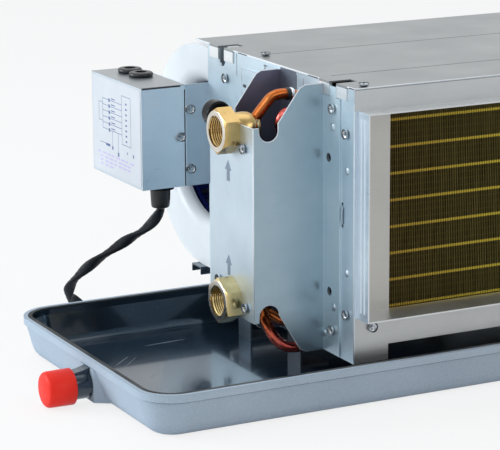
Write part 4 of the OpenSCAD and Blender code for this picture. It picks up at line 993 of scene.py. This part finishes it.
# Scuffs on the tray's floor: from, to, width
SCUFFS = [((-128.2, 163.3), (-106.7, 183.6), 0.7), ((-129.6, 148.5), (-102.8, 178.3), 0.5),
          ((-83.8, 204), (-44.9, 206.5), 1.4), ((-118, 120), (-104, 132), 0.4), ((-95, 60), (-82, 77), 0.4)]


def make_scuffs():
    verts, faces = [], []
    for first, last, wide in SCUFFS:
        start = len(verts)
        ends = [Vector((*first, 0)), Vector((*last, 0))]
        along = (ends[1] - ends[0]).normalized()
        side = Vector((-along.y, along.x, 0)) * wide / 2
        for share, spread in ((0, 0.1), (0.15, 0.8), (0.5, 1), (0.8, 0.7), (1, 0.1)):
            spot = ends[0].lerp(ends[1], share) + Vector((0, 0, TRAY_FLOOR + 0.05))
            verts += [at(*(spot + side * spread)), at(*(spot - side * spread))]
        faces += [(start + k, start + k + 1, start + k + 3, start + k + 2) for k in (0, 2, 4, 6)]
    piece("tray_scuffs", verts, faces, SCUFF, "pan_paint")


make_feeders()
make_rim()
make_boss()
make_cap()
make_skirt()
make_shroud_edges()
make_plate_marks()
make_box_seam()
make_collar_seam()
make_scuffs()
make_thread("thread_out", PIPE_OUT)
make_thread("thread_in", PIPE_IN)
make_neck("neck_out", PIPE_OUT)
make_neck("neck_in", PIPE_IN)
for group in ("plate_screws", "front_screws", "top_screws", "shroud_screws", "box_screws", "deck_screws"):
    make_screws(group)
make_fins()
make_label()
make_arrow("arrow_out", 88.5, 142.0)
make_arrow("arrow_in", 88.5, 66.5)
make_domes()
make_hem()


# Stage: floor, world and lamps
def white_rays(tree):
    """1 for the rays that see the white background: from the camera, in reflections and through glass."""
    rays = add(tree, "ShaderNodeLightPath").outputs
    shown = calc(tree, "MAXIMUM", rays["Is Camera Ray"], rays["Is Glossy Ray"])
    return calc(tree, "MAXIMUM", shown, rays["Is Transmission Ray"])


def make_floor():
    mesh = bpy.data.meshes.new("floor")
    reach = 9.0
    mesh.from_pydata([(-reach, -reach, 0), (reach, -reach, 0), (reach, reach, 0), (-reach, reach, 0)], [],
                     [(0, 1, 2, 3)])
    floor = bpy.data.objects.new("floor", mesh)
    bpy.context.scene.collection.objects.link(floor)
    material, tree, shader, _ = new_material("floor_white", base_color=(0.86, 0.87, 0.88, 1), roughness=0.9)
    glow = add(tree, "ShaderNodeEmission", {"Color": (1, 1, 1, 1), "Strength": 1.0})
    share = calc(tree, "MULTIPLY", white_rays(tree), 0.8)
    both = add(tree, "ShaderNodeMixShader", {0: share, 1: shader.outputs[0], 2: glow.outputs[0]})
    out = next(n for n in tree.nodes if n.type == "OUTPUT_MATERIAL")
    tree.links.new(both.outputs[0], out.inputs["Surface"])
    paint(floor, material)


def make_world():
    """A white sweep behind the object, cooler to the left, and a dimmer studio behind the camera."""
    world = bpy.data.worlds.new("room")
    world.use_nodes = True
    tree = world.node_tree
    tree.nodes.clear()
    direction = add(tree, "ShaderNodeTexCoord").outputs["Generated"]
    parts = add(tree, "ShaderNodeSeparateXYZ", {"Vector": direction}).outputs
    depth = levels(tree, parts["Y"], 0.0, 1.0, -0.9, 0.9)
    room = ramp(tree, depth, [(0.0, (0.42, 0.42, 0.42)), (0.5, (0.54, 0.56, 0.58)),
                              (1.0, (0.78, 0.79, 0.80))])
    side = levels(tree, parts["X"], 0.0, 1.0, -0.7, 0.7)
    tint = ramp(tree, side, [(0.0, (0.86, 0.96, 1.0)), (0.5, (0.96, 0.98, 1.0)), (1.0, (1.0, 0.97, 0.93))])
    room = mixed(tree, 1.0, room, tint, "MULTIPLY")
    light = add(tree, "ShaderNodeBackground", {"Color": room, "Strength": 0.85})
    sweep_white = ramp(tree, depth, [(0.0, (0.50, 0.50, 0.50)), (0.3, (0.62, 0.63, 0.64)), (0.55, (1, 1, 1))])
    white = add(tree, "ShaderNodeBackground", {"Color": sweep_white, "Strength": 1.0})
    both = add(tree, "ShaderNodeMixShader", {0: white_rays(tree), 1: light.outputs[0], 2: white.outputs[0]})
    out = add(tree, "ShaderNodeOutputWorld")
    tree.links.new(both.outputs[0], out.inputs["Surface"])
    bpy.context.scene.world = world


def make_lamp(name, place, target, size, power, colour):
    data = bpy.data.lights.new(name, "AREA")
    data.shape = "RECTANGLE"
    data.size, data.size_y = size
    data.energy = power
    data.color = colour
    lamp = bpy.data.objects.new(name, data)
    lamp.location = place
    lamp.rotation_euler = (Vector(target) - Vector(place)).to_track_quat("-Z", "Y").to_euler()
    bpy.context.scene.collection.objects.link(lamp)


make_floor()
make_world()
make_lamp("key", (-1.9, -0.9, 1.9), (0, 0, 0.1), (1.6, 1.6), 14, (0.95, 0.98, 1.0))
make_lamp("fill", (1.2, -2.4, 1.5), (0.2, 0, 0.1), (1.8, 1.2), 14, (1.0, 0.97, 0.93))
make_lamp("top", (0.3, 0.4, 2.4), (0.2, 0, 0.1), (2.0, 2.0), 8, (1.0, 1.0, 1.0))
make_lamp("left", (-2.1, 1.3, 0.8), (-0.05, 0, 0.12), (1.2, 1.0), 36, (0.88, 0.95, 1.0))
bpy.context.scene.view_settings.view_transform = "Standard"
